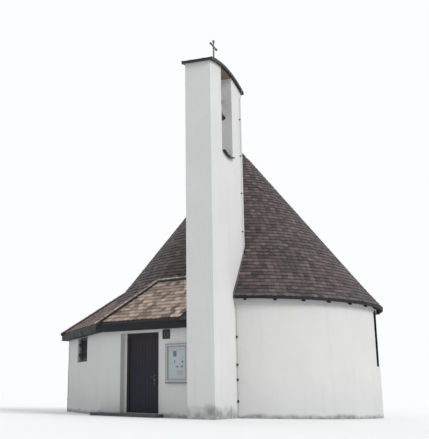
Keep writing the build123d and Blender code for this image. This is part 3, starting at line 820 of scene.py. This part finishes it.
# %% [markdown]
# The tip of the cone is closed with a folded sheet cap, spun from a short profile. Where the roofs run
# into the tower, a strip of dark sheet is turned up its face. Its edge follows the roof, so the strip is
# a grid whose vertices are set on the height that a ray finds there. A dark triangle of the same sheet lies
# in the corner between the front slope's eave and the tower: it is painted shadow, the tower's shadow on
# the tiles.

# %% Sheet cap on the tip
tip = bmesh.new()
profile = [(TIP_RADIUS + 0.03, -0.235), (TIP_RADIUS + 0.012, -0.19), (0.04, -0.03), (0.0, -0.004)]
add_turned(tip, profile, 24, closed=False)
tip_place = Matrix.Translation((0, 0, APEX))
make_piece("cone_tip_cap", tip, cap_metal, smooth=40, matrix=tip_place)

# %% Sheet along the tower
UPSTAND, SHEET, FLASHING_STEPS = 0.10, 0.004, 28
LEFT_START, RIGHT_START = -5.96, -4.33


def flashing(bm, start, end, push):
    """A strip turned up a face of the tower, from one point in plan to another."""
    verts = bmesh.ops.create_grid(bm, x_segments=FLASHING_STEPS, y_segments=1, size=0.5)["verts"]
    for vert in verts:
        place = Vector(start).lerp(Vector(end), vert.co.x + 0.5)
        probe = place + Vector(push) * 0.03
        height = roof_height(CONE_NODES + ANNEX_NODES, probe.x, probe.y)
        top = vert.co.y > 0
        vert.co = (place.x, place.y, height + (UPSTAND if top else 0.0))
    bmesh.ops.solidify(bm, geom=linked(verts, "link_faces"), thickness=SHEET)


strips = bmesh.new()
left_x, right_x, back_y = TOWER_LEFT - SHEET, TOWER_RIGHT + SHEET, TOWER_BACK + SHEET
flashing(strips, (left_x, LEFT_START, 0), (left_x, back_y, 0), (-1, 0, 0))
flashing(strips, (right_x, RIGHT_START, 0), (right_x, back_y, 0), (1, 0, 0))
flashing(strips, (left_x, back_y, 0), (right_x, back_y, 0), (0, 1, 0))
make_piece("tower_flashing", strips, lead_sheet)

# %% Painted tower shadow at the front eave
CORNER_WIDTH, CORNER_RISE, CORNER_LIFT, CORNER_THICK = 0.36, 0.50, 0.040, 0.03
CORNER_FOOT, FOLD_RADIUS = -0.035, 0.011


def tower_line(rise):
    """Where the tower's left face cuts the front slope, at a distance up the slope."""
    pitch = math.radians(WALLS["front"]["pitch"])
    plan = outward("front") * (WALLS["front"]["eave"] - rise * math.cos(pitch))
    return (TOWER_LEFT - plan.x) / along("front").x


# A dark sheet in the corner by the tower: it paints the tower's shadow on the front slope.
corner = bmesh.new()
low_x, high_x = tower_line(CORNER_FOOT), tower_line(CORNER_RISE)
outline = [
    (low_x - CORNER_WIDTH, CORNER_FOOT), (low_x, CORNER_FOOT), (high_x, CORNER_RISE),
    (high_x - 0.03, CORNER_RISE),
]
face = corner.faces.new([corner.verts.new((x, y, CORNER_LIFT)) for x, y in outline])
lowered = only_verts(bmesh.ops.extrude_face_region(corner, geom=[face])["geom"])
bmesh.ops.translate(corner, verts=lowered, vec=(0, 0, -CORNER_THICK))
fold = CORNER_LIFT + 0.004
add_rod(corner, (*outline[0], fold), (*outline[3], fold), FOLD_RADIUS, 8)
make_piece("tower_shadow_sheet", corner, lead_sheet, matrix=slope_frame("front"))
print("corner sheet", CORNER_WIDTH, "by", CORNER_RISE, "m")

# %% [markdown]
# The tower's cap is a shallow barrel of sheet metal. Its sheets are joined by standing seams that run
# over the barrel, and a folded drip hangs along each edge. Boards line it from below, over the belfry's
# slot. All are thin sections, spun about the barrel's axis, so they follow its curve exactly.

# %% Seams and drips of the cap
cap_low, cap_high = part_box("tower_cap")
CAP_HALF = (cap_high.y - cap_low.y) / 2
CAP_THICK, CAP_OVERHANG, CAP_RISE = 0.08, 0.08, 0.19
SEAM_SPACING, SEAM_WIDTH, DRIP_WIDTH = 0.19, 0.012, 0.004
SLOT_HALF, SOFFIT_THICK = 0.508, 0.013
tower_half = CAP_HALF - CAP_OVERHANG
barrel_radius = (tower_half**2 + CAP_RISE**2) / (2 * CAP_RISE) + CAP_THICK
barrel_place = Matrix.Translation((0, TOWER_Y, cap_high.z - barrel_radius))


def barrel_strip(bm, x, width, low, high, half):
    """A band over the barrel between two heights above its sheet, as far as a half width reaches."""
    reach = math.asin(half / barrel_radius)
    section = Matrix.Translation((x, -0.001, barrel_radius + (low + high) / 2))
    upright = Matrix.Rotation(math.pi / 2, 4, "X") @ Matrix.Diagonal((width, high - low, 1, 1))
    place = Matrix.Rotation(reach, 4, "X") @ section @ upright
    verts = bmesh.ops.create_grid(bm, x_segments=1, y_segments=1, size=0.5, matrix=place)["verts"]
    bmesh.ops.spin(
        bm, geom=geometry(verts), cent=(0, 0, 0), axis=(1, 0, 0), angle=-2 * reach, steps=32
    )


seams = bmesh.new()
for x in (cap_low.x + 0.012, TOWER_X - SEAM_SPACING, TOWER_X + SEAM_SPACING, cap_high.x - 0.012):
    barrel_strip(seams, x, SEAM_WIDTH, -0.002, 0.014, CAP_HALF)
for x in (cap_low.x - DRIP_WIDTH / 2, cap_high.x + DRIP_WIDTH / 2):
    barrel_strip(seams, x, DRIP_WIDTH, -0.085, 0.004, CAP_HALF)
make_piece("cap_seams", seams, cap_metal, matrix=barrel_place)
soffit = bmesh.new()
width, high = TOWER_RIGHT - TOWER_LEFT - 0.01, -CAP_THICK - 0.001
barrel_strip(soffit, TOWER_X, width, high - SOFFIT_THICK, high, SLOT_HALF)
make_piece("belfry_soffit", soffit, soffit_wood, matrix=barrel_place)
print("barrel radius", round(barrel_radius, 3), "m")

# %% [markdown]
# The cross stands on a small foot of the cap and ends in round knobs. A lightning wire runs from the cap
# down the tower's right face, along the roof's edge and down the corner between tower and nave, on
# small clips. It is fixed all along, so it is a piece of the building and no free cord.

# %% Knobs of the cross
cross_low, cross_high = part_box("tower_cross")
KNOB = 0.042
bar_height = cross_high.z - 0.21
knobs = bmesh.new()
knob_places = [
    (TOWER_Y, cross_high.z - KNOB), (cross_low.y + KNOB, bar_height), (cross_high.y - KNOB, bar_height)
]
for y, z in knob_places:
    place = Matrix.Translation((TOWER_X, y, z))
    bmesh.ops.create_uvsphere(knobs, u_segments=14, v_segments=8, radius=KNOB, matrix=place)
make_piece("cross_knobs", knobs, cross_metal, smooth=60)

# %% Lightning wire
WIRE_RADIUS, WIRE_OFF, WIRE_SET_BACK, BEND_Y = 0.006, 0.035, 0.25, -4.3
TOWER_CLIPS, NAVE_CLIPS = (5.4, 6.6, 7.8, 9.0), (0.45, 1.03, 1.44, 2.21)
wire_x, wire_y = TOWER_RIGHT + WIRE_OFF, TOWER_BACK - WIRE_SET_BACK
corner_y = -math.sqrt(NAVE_RADIUS**2 - wire_x**2) - WIRE_OFF
eave_y = -math.sqrt((EAVE_RADIUS + 0.045) ** 2 - wire_x**2)
wire_route = [
    (cap_high.x - 0.05, wire_y, cap_high.z - 0.20),
    (cap_high.x + 0.02, wire_y, cap_high.z - 0.22),
    (cap_high.x + 0.02, wire_y, cap_high.z - 0.42),
    (wire_x, wire_y, cap_high.z - 0.55),
    (wire_x, wire_y, roof_height(CONE_NODES, wire_x, wire_y) + 0.12),
    (wire_x, BEND_Y, roof_height(CONE_NODES, wire_x, BEND_Y) + 0.07),
    (wire_x, eave_y, EAVE_TOP + 0.03),
    (wire_x, eave_y, EAVE_TOP - 0.14),
    (wire_x, corner_y, EAVE_TOP - 0.35),
    (wire_x, corner_y, 0.0),
]
wire = bmesh.new()
for start, end in zip(wire_route, wire_route[1:]):
    add_rod(wire, start, end, WIRE_RADIUS, 8)
    bmesh.ops.create_icosphere(wire, subdivisions=1, radius=WIRE_RADIUS, matrix=Matrix.Translation(start))
make_piece("lightning_wire", wire, wire_metal, smooth=40)
clips = bmesh.new()
for height in TOWER_CLIPS:
    low = (TOWER_RIGHT, wire_y - 0.012, height - 0.02)
    add_block(clips, low, (wire_x + 0.012, wire_y + 0.012, height + 0.02), bevel=0.003)
for height in NAVE_CLIPS:
    low = (wire_x - 0.016, corner_y - 0.016, height - 0.03)
    add_block(clips, low, (wire_x + 0.016, corner_y + WIRE_OFF + 0.01, height + 0.03), bevel=0.004)
make_piece("wire_clips", clips, iron_paint)
print("lightning wire of", len(wire_route) - 1, "runs")

# %% [markdown]
# The bell is cast with raised bands round its lip and waist. Each band is a small circle, spun about the
# bell's axis at the radius that a ray finds on the CAD bell. The bands, and the iron straps that hold
# the headstock, swing with the bell.

# %% Bands of the bell
bell_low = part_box("bell")[0]
BANDS = ((0.022, 0.009), (0.065, 0.006), (0.15, 0.005), (0.36, 0.006), (0.39, 0.006))


def bell_radius(height):
    """Radius of the bell's outside at a height."""
    start = Vector((TOWER_X + 1, TOWER_Y, height))
    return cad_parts["bell"].ray_cast(start, Vector((-1, 0, 0)))[1].x - TOWER_X


bands = bmesh.new()
for rise, size in BANDS:
    height = bell_low.z + rise
    middle = bell_radius(height)
    turns = [math.pi * number / 4 for number in range(8)]
    circle = [(middle + size * math.cos(turn), height + size * math.sin(turn)) for turn in turns]
    add_turned(bands, circle, 40)
bell_place = Matrix.Translation((TOWER_X, TOWER_Y, 0))
make_piece("bell_bands", bands, bronze.material, "bell_body", 60, bell_place)

# %% Straps of the headstock
stock_low, stock_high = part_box("bell_headstock")
stock_y = (stock_low.y + stock_high.y) / 2
STRAP, STRAP_OFFSET, STRAP_HALF = 0.006, 0.2, 0.025
straps = bmesh.new()
for y in (stock_y - STRAP_OFFSET, stock_y + STRAP_OFFSET):
    top = stock_high.z + STRAP
    low = (stock_low.x - STRAP, y - STRAP_HALF, stock_low.z - STRAP)
    add_block(straps, low, (stock_high.x + STRAP, y + STRAP_HALF, top), bevel=0.002)
    for x in (stock_low.x + 0.03, stock_high.x - 0.03):
        add_rod(straps, (x, y, top), (x, y, top + 0.012), 0.011, 6)
make_piece("headstock_straps", straps, iron_paint, body="bell_body")

# %% [markdown]
# The door is made of upright oak boards with eased edges, on three ledges at the back. The boards
# replace the plain CAD leaf, in the same space and on the same hinges. Rows of forged nails hold them to
# the ledges, and a lock plate sits under the handle.

# %% Door boards
DOOR_LEFT, DOOR_RIGHT = -0.317, 0.827
DOOR_LOW, DOOR_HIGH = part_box("door_leaf")[0].z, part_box("door_leaf")[1].z
DOOR_FACE, DOOR_BACK = -0.201, -0.261
LEDGE_DEPTH, LEDGE_HALF, BOARD_COUNT, BOARD_GAP = 0.018, 0.07, 9, 0.001
LEDGES = (0.358, 1.165, 1.972)
board_width = (DOOR_RIGHT - DOOR_LEFT) / BOARD_COUNT
front_frame = wall_frame("front")
boards = bmesh.new()
for number in range(BOARD_COUNT):
    left = DOOR_LEFT + number * board_width
    low = (left + BOARD_GAP, DOOR_LOW, DOOR_BACK + LEDGE_DEPTH)
    add_block(boards, low, (left + board_width - BOARD_GAP, DOOR_HIGH, DOOR_FACE), bevel=0.006)
for height in LEDGES:
    high = (DOOR_RIGHT, height + LEDGE_HALF, DOOR_BACK + LEDGE_DEPTH + 0.002)
    add_block(boards, (DOOR_LEFT, height - LEDGE_HALF, DOOR_BACK), high, bevel=0.003)
door = make_piece("door_boards", boards, door_wood, body="door", matrix=front_frame)
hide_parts("door_leaf")

# %% Nails and lock plate
NAIL_RADIUS, NAIL_OFFSET = 0.008, 0.035
LOCK_X, LOCK_Y = 0.677, 0.895
nails = bmesh.new()
for number in range(BOARD_COUNT):
    x = DOOR_LEFT + (number + 0.5) * board_width
    for height in LEDGES:
        for y in (height - NAIL_OFFSET, height + NAIL_OFFSET):
            place = Matrix.Translation((x, y, DOOR_FACE)) @ Matrix.Diagonal((1, 1, 0.5, 1))
            bmesh.ops.create_icosphere(nails, subdivisions=1, radius=NAIL_RADIUS, matrix=place)
make_piece("door_nails", nails, iron_paint, body="door", matrix=front_frame)
lock = bmesh.new()
for back, front, radius, sides in ((0, 0.006, 0.026, 20), (0.005, 0.012, 0.012, 16)):
    start = (LOCK_X, LOCK_Y, DOOR_FACE + back)
    add_rod(lock, start, (LOCK_X, LOCK_Y, DOOR_FACE + front), radius, sides)
make_piece("lock_plate", lock, steel, body="door", matrix=front_frame)

# %% [markdown]
# The side wall's window is guarded by a wrought grille: square uprights between two flat rails, with
# scrolls in every bay. A scroll is a spiral of arcs, each with a smaller radius than the one before.
# A small section is spun through each arc, which keeps it round, and the arcs join smoothly because
# their centres lie on one line.

# %% Scrolls
SCROLL_SECTION = 0.0075


def add_scroll(bm, centre, radii, start, sense):
    """A spiral in wall coordinates from a start angle, turning left (1) or right (-1)."""
    centre, angle = Vector((*centre, 0)), start
    for radius, smaller in zip(radii, [*radii[1:], radii[-1]]):
        verts = bmesh.ops.create_circle(bm, cap_ends=True, segments=6, radius=SCROLL_SECTION)["verts"]
        upright = Matrix.Translation((radius, 0, 0)) @ Matrix.Rotation(math.pi / 2, 4, "X")
        place = Matrix.Translation(centre) @ Matrix.Rotation(angle, 4, "Z") @ upright
        bmesh.ops.transform(bm, matrix=place, verts=verts)
        bmesh.ops.spin(bm, geom=geometry(verts), cent=centre, axis=UP, angle=sense * math.pi, steps=9)
        angle += sense * math.pi
        centre = centre + Vector((math.cos(angle), math.sin(angle), 0)) * (radius - smaller)


# %% Side window grille
SIDE_LEFT, SIDE_RIGHT, SIDE_LOW, SIDE_HIGH = -1.718, -0.353, 1.59, 2.375
GRILLE_DEPTH, BAR, BAYS, SCROLL_OFFSET = -0.045, 0.009, 5, 0.165
LONG_SCROLL, SHORT_SCROLL = (0.100, 0.066, 0.040, 0.022), (0.100, 0.075, 0.05)
bay = (SIDE_RIGHT - SIDE_LEFT) / BAYS
grille = bmesh.new()
for number in range(1, BAYS):
    x = SIDE_LEFT + number * bay
    add_block(grille, (x - BAR, SIDE_LOW, -BAR), (x + BAR, SIDE_HIGH, BAR), bevel=0.002)
for height in (SIDE_LOW + 0.06, SIDE_HIGH - 0.07):
    add_block(grille, (SIDE_LEFT, height - 0.015, -0.005), (SIDE_RIGHT, height + 0.015, 0.005))
middle = (SIDE_LOW + SIDE_HIGH) / 2
for number in range(BAYS):
    x = SIDE_LEFT + (number + 0.5) * bay
    for sense in (1, -1):
        centre = (x, middle + sense * SCROLL_OFFSET)
        add_scroll(grille, centre, LONG_SCROLL, 0, sense)
        add_scroll(grille, centre, SHORT_SCROLL, math.pi, -sense)
    add_rod(grille, (x, middle - 0.07, 0), (x, middle + 0.07, 0), 0.011, 8)
grille_place = wall_frame("side") @ Matrix.Translation((0, 0, GRILLE_DEPTH))
make_piece("side_window_grille", grille, iron_paint, smooth=40, matrix=grille_place)

# %% [markdown]
# The nave's own window lies under the eave on the right-hand side, where the photograph shows it only as
# a notch in the wall's edge. Mullions and a transom divide its glass. Plain bars guard it, about 5 cm
# proud of the wall's arris, because that edge reads as a thin dark line in the photograph.

# %% Nave window bars
WINDOW_TURN = Matrix.Rotation(math.radians(11), 4, "Z")
WINDOW_HALF, REVEAL, GUARD_OFF = 1.10, 0.09, 0.140
MULLION_HALF, RAIL_HALF, GUARD_BARS = 0.022, 0.018, 15
window_face = math.sqrt(NAVE_RADIUS**2 - WINDOW_HALF**2) - REVEAL
NAVE_LOW, NAVE_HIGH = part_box("nave_window_frame")[0].z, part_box("nave_window_frame")[1].z
inner, transom, guard_x = window_face - 0.06, NAVE_HIGH - 0.52, window_face + GUARD_OFF
nave_bars = bmesh.new()
for y in (-WINDOW_HALF / 3, WINDOW_HALF / 3):
    low = (inner, y - MULLION_HALF, NAVE_LOW + 0.06)
    add_block(nave_bars, low, (window_face, y + MULLION_HALF, NAVE_HIGH - 0.06))
low = (inner + 0.004, -WINDOW_HALF + 0.06, transom - 0.02)
add_block(nave_bars, low, (window_face - 0.004, WINDOW_HALF - 0.06, transom + 0.02))
make_piece("nave_window_mullions", nave_bars, window_paint, matrix=WINDOW_TURN)
guard = bmesh.new()
for number in range(GUARD_BARS):
    y = (WINDOW_HALF - 0.02) * (2 * number / (GUARD_BARS - 1) - 1)
    add_rod(guard, (guard_x, y, NAVE_LOW), (guard_x, y, NAVE_HIGH), 0.009, 8)
for height in (NAVE_LOW + 0.12, (NAVE_LOW + NAVE_HIGH) / 2, NAVE_HIGH - 0.14):
    low, high = height - RAIL_HALF, height + RAIL_HALF
    add_block(guard, (guard_x - 0.006, -WINDOW_HALF, low), (guard_x + 0.006, WINDOW_HALF, high))
    for y in (-WINDOW_HALF, WINDOW_HALF - 0.012):
        add_block(guard, (window_face - 0.03, y, low), (guard_x, y + 0.012, high))
make_piece("nave_window_guard", guard, iron_paint, smooth=40, matrix=WINDOW_TURN)

# %% [markdown]
# The notice board is a shallow painted case. Two beads run round its frame and a drip board closes it
# below. Behind the glass hang plain sheets in the colours of the real ones: a blue one, a rose one and a
# few small dark notes. They carry no words. The dark plaque above gets its enamel ring.

# %% Beads of the notice board
BOARD_LEFT, BOARD_RIGHT, BOARD_LOW, BOARD_HIGH = 1.3205, 2.1205, 0.92, 1.955
BOARD_DEPTH, BOARD_RIM, BOARD_BACK = 0.06, 0.08, 0.025


def add_bead(bm, inset, width, low, high):
    """A picture-frame bead round the board, at an inset from its outline."""
    left, right = BOARD_LEFT + inset, BOARD_RIGHT - inset
    bottom, top = BOARD_LOW + inset, BOARD_HIGH - inset
    for x0, x1 in ((left, left + width), (right - width, right)):
        add_block(bm, (x0, bottom, low), (x1, top, high), bevel=0.002)
    for y0, y1 in ((bottom, bottom + width), (top - width, top)):
        add_block(bm, (left, y0, low), (right, y1, high), bevel=0.002)


beads = bmesh.new()
add_bead(beads, 0.004, 0.020, BOARD_DEPTH - 0.002, BOARD_DEPTH + 0.007)
add_bead(beads, BOARD_RIM - 0.020, 0.018, BOARD_DEPTH - 0.002, BOARD_DEPTH + 0.005)
low = (BOARD_LEFT - 0.012, BOARD_LOW - 0.022, 0.0)
add_block(beads, low, (BOARD_RIGHT + 0.012, BOARD_LOW + 0.002, BOARD_DEPTH + 0.018), bevel=0.004)
make_piece("board_beads", beads, bead_paint, matrix=front_frame)

# %% Sheets behind the glass
blue_note = dark_paint("note_blue", (0.035, 0.060, 0.085), 0.6)
grey_note = dark_paint("note_grey", (0.075, 0.100, 0.110), 0.6)
rose_note = dark_paint("note_rose", (0.40, 0.36, 0.40), 0.6, wear=0.1)
white_note = dark_paint("note_white", (0.45, 0.50, 0.52), 0.6, wear=0.1)
SHEETS = {
    "panel": (panel_paint, [(1.4205, 1.02, 2.0205, 1.855)]),
    "header": (enamel, [(1.45, 1.775, 1.60, 1.82), (1.63, 1.775, 1.70, 1.82), (1.73, 1.775, 1.99, 1.82)]),
    "blue": (blue_note, [(1.575, 1.61, 1.70, 1.76)]),
    "notes": (grey_note, [
        (1.61, 1.44, 1.65, 1.51), (1.88, 1.44, 1.94, 1.50), (1.68, 1.32, 1.77, 1.36),
        (1.85, 1.32, 1.93, 1.37),
    ]),
    "rose": (rose_note, [(1.71, 1.11, 1.94, 1.24)]),
    "slips": (white_note, [(1.45, 1.09, 1.63, 1.25), (1.73, 1.58, 1.97, 1.75)]),
}
depth = BOARD_BACK
for name, (material, corners) in SHEETS.items():
    depth += 0.001
    sheet = bmesh.new()
    for left, bottom, right, top in corners:
        add_block(sheet, (left, bottom, depth - 0.001), (right, top, depth + 0.001))
    make_piece(f"board_{name}", sheet, material, matrix=front_frame)

# %% Ring of the plaque
PLAQUE_X, PLAQUE_Y, PLAQUE_FACE = 1.308, 2.2225, 0.0275
plaque_ring = bmesh.new()
add_turned(plaque_ring, [(0.050, 0), (0.066, 0), (0.063, 0.005), (0.053, 0.005)], 36)
place = front_frame @ Matrix.Translation((PLAQUE_X, PLAQUE_Y, PLAQUE_FACE))
make_piece("plaque_ring", plaque_ring, ring_paint, smooth=40, matrix=place)

# %% [markdown]
# The rainwater pipe at the far corner is held by ring clips. Each clip is a flat band that is spun round
# the pipe, with a short arm to the wall.

# %% Pipe clips
pipe_low, pipe_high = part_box("rainwater_pipe")
pipe_middle = (pipe_low + pipe_high) / 2
pipe_radius = (pipe_high.x - pipe_low.x) / 2
CLIP_HALF, CLIP_THICK = 0.018, 0.006
pipe_clips = bmesh.new()
for height in (0.4, 1.25, 2.1):
    low, high = height - CLIP_HALF, height + CLIP_HALF
    inner, outer = pipe_radius - 0.001, pipe_radius + CLIP_THICK
    add_turned(pipe_clips, [(inner, low), (outer, low), (outer, high), (inner, high)], 24)
    arm = outward("side") * -(pipe_radius + 0.05)
    add_rod(pipe_clips, (0, 0, height), (arm.x, arm.y, height), 0.006, 8)
place = Matrix.Translation((pipe_middle.x, pipe_middle.y, 0))
make_piece("pipe_clips", pipe_clips, pipe_paint, smooth=40, matrix=place)

# %% [markdown]
# The floor is a plain pale sheet. Broad soft suns and an even world light the chapel at a plain level,
# with the stronger light from the right, as in the photograph. What the camera and mirrors see of the
# world is a plain pale backdrop, mixed in by Light Path, so the background adds no light.

# %% Floor and world
floor = bmesh.new()
below = Matrix.Translation((0, 0, -0.002))
bmesh.ops.create_grid(floor, x_segments=1, y_segments=1, size=90, matrix=below)
pale = two_tone("stage_pale", 0.5, (0.80, 0.80, 0.80), (0.82, 0.82, 0.82), roughness=0.95)
stage_floor = make_object("stage_floor", floor, pale)

world = bpy.data.worlds.new("studio")
bpy.context.scene.world = world
world.use_nodes = True
tree = world.node_tree
lighting = tree.nodes["Background"]
lighting.inputs["Color"].default_value = (0.93, 0.965, 1.0, 1)
lighting.inputs["Strength"].default_value = 0.55
backdrop = tree.nodes.new("ShaderNodeBackground")
backdrop.inputs["Color"].default_value = (0.97, 0.98, 1.0, 1)
path = tree.nodes.new("ShaderNodeLightPath")
seen = Socket(tree, path.outputs["Is Camera Ray"]).larger(Socket(tree, path.outputs["Is Glossy Ray"]))
seen = seen.larger(Socket(tree, path.outputs["Is Transmission Ray"]))
mixer = tree.nodes.new("ShaderNodeMixShader")
tree.links.new(seen.socket, mixer.inputs[0])
tree.links.new(lighting.outputs[0], mixer.inputs[1])
tree.links.new(backdrop.outputs[0], mixer.inputs[2])
tree.links.new(mixer.outputs[0], tree.nodes["World Output"].inputs["Surface"])


# %% Lamps
def soft_sun(name, direction, strength, spread):
    """A distant lamp with a wide, soft-edged disc, from a direction."""
    data = bpy.data.lights.new(name, "SUN")
    data.energy = strength
    data.angle = math.radians(spread)
    lamp = bpy.data.objects.new(name, data)
    lamp.rotation_euler = Vector(direction).to_track_quat("Z", "Y").to_euler()
    bpy.context.collection.objects.link(lamp)


soft_sun("key_sun", (1.00, -0.28, 0.75), 2.1, 25)
soft_sun("fill_sun", (-0.45, -0.80, 0.45), 0.40, 60)
soft_sun("back_sun", (-0.35, 0.90, 0.60), 0.9, 60)
print("lamps", [lamp.name for lamp in bpy.data.lights])

# %% [markdown]
# The camera stands where the photograph was taken: low, to the right of the tower and about 28 m from the
# nave's axis, looking up. The photograph is a cut-out of a wider view, so its middle isn't the lens's
# middle, and a small shift stands for that. The image is 429 by 439 pixels, and its longer side fits the
# sensor.

# %% Camera
IMAGE_WIDTH, IMAGE_HEIGHT = 429, 439
FOCAL_PIXELS = 823.275
LENS_MIDDLE_X, LENS_MIDDLE_Y = 128.7, 155.15
camera_data = bpy.data.cameras.new("camera")
camera = bpy.data.objects.new("camera", camera_data)
bpy.context.collection.objects.link(camera)
camera.location = (8.09396, -27.25893, 0.62729)
forward = Vector((-0.39948, 0.87363, 0.27783)).normalized()
ROLL = -0.01351
level = forward.cross(UP).normalized()
upward = level.cross(forward)
side = level * math.cos(ROLL) - upward * math.sin(ROLL)
upward = level * math.sin(ROLL) + upward * math.cos(ROLL)
camera.rotation_euler = Matrix((side, upward, -forward)).transposed().to_euler()
camera_data.sensor_width = 36
camera_data.lens = FOCAL_PIXELS / IMAGE_HEIGHT * camera_data.sensor_width
camera_data.shift_x = (IMAGE_WIDTH / 2 - LENS_MIDDLE_X) / IMAGE_HEIGHT
camera_data.shift_y = (LENS_MIDDLE_Y - IMAGE_HEIGHT / 2) / IMAGE_HEIGHT
camera_data.clip_end = 400
bpy.context.scene.camera = camera
bpy.context.scene.view_settings.view_transform = "Standard"
print("camera shift", round(camera_data.shift_x, 3), round(camera_data.shift_y, 3))
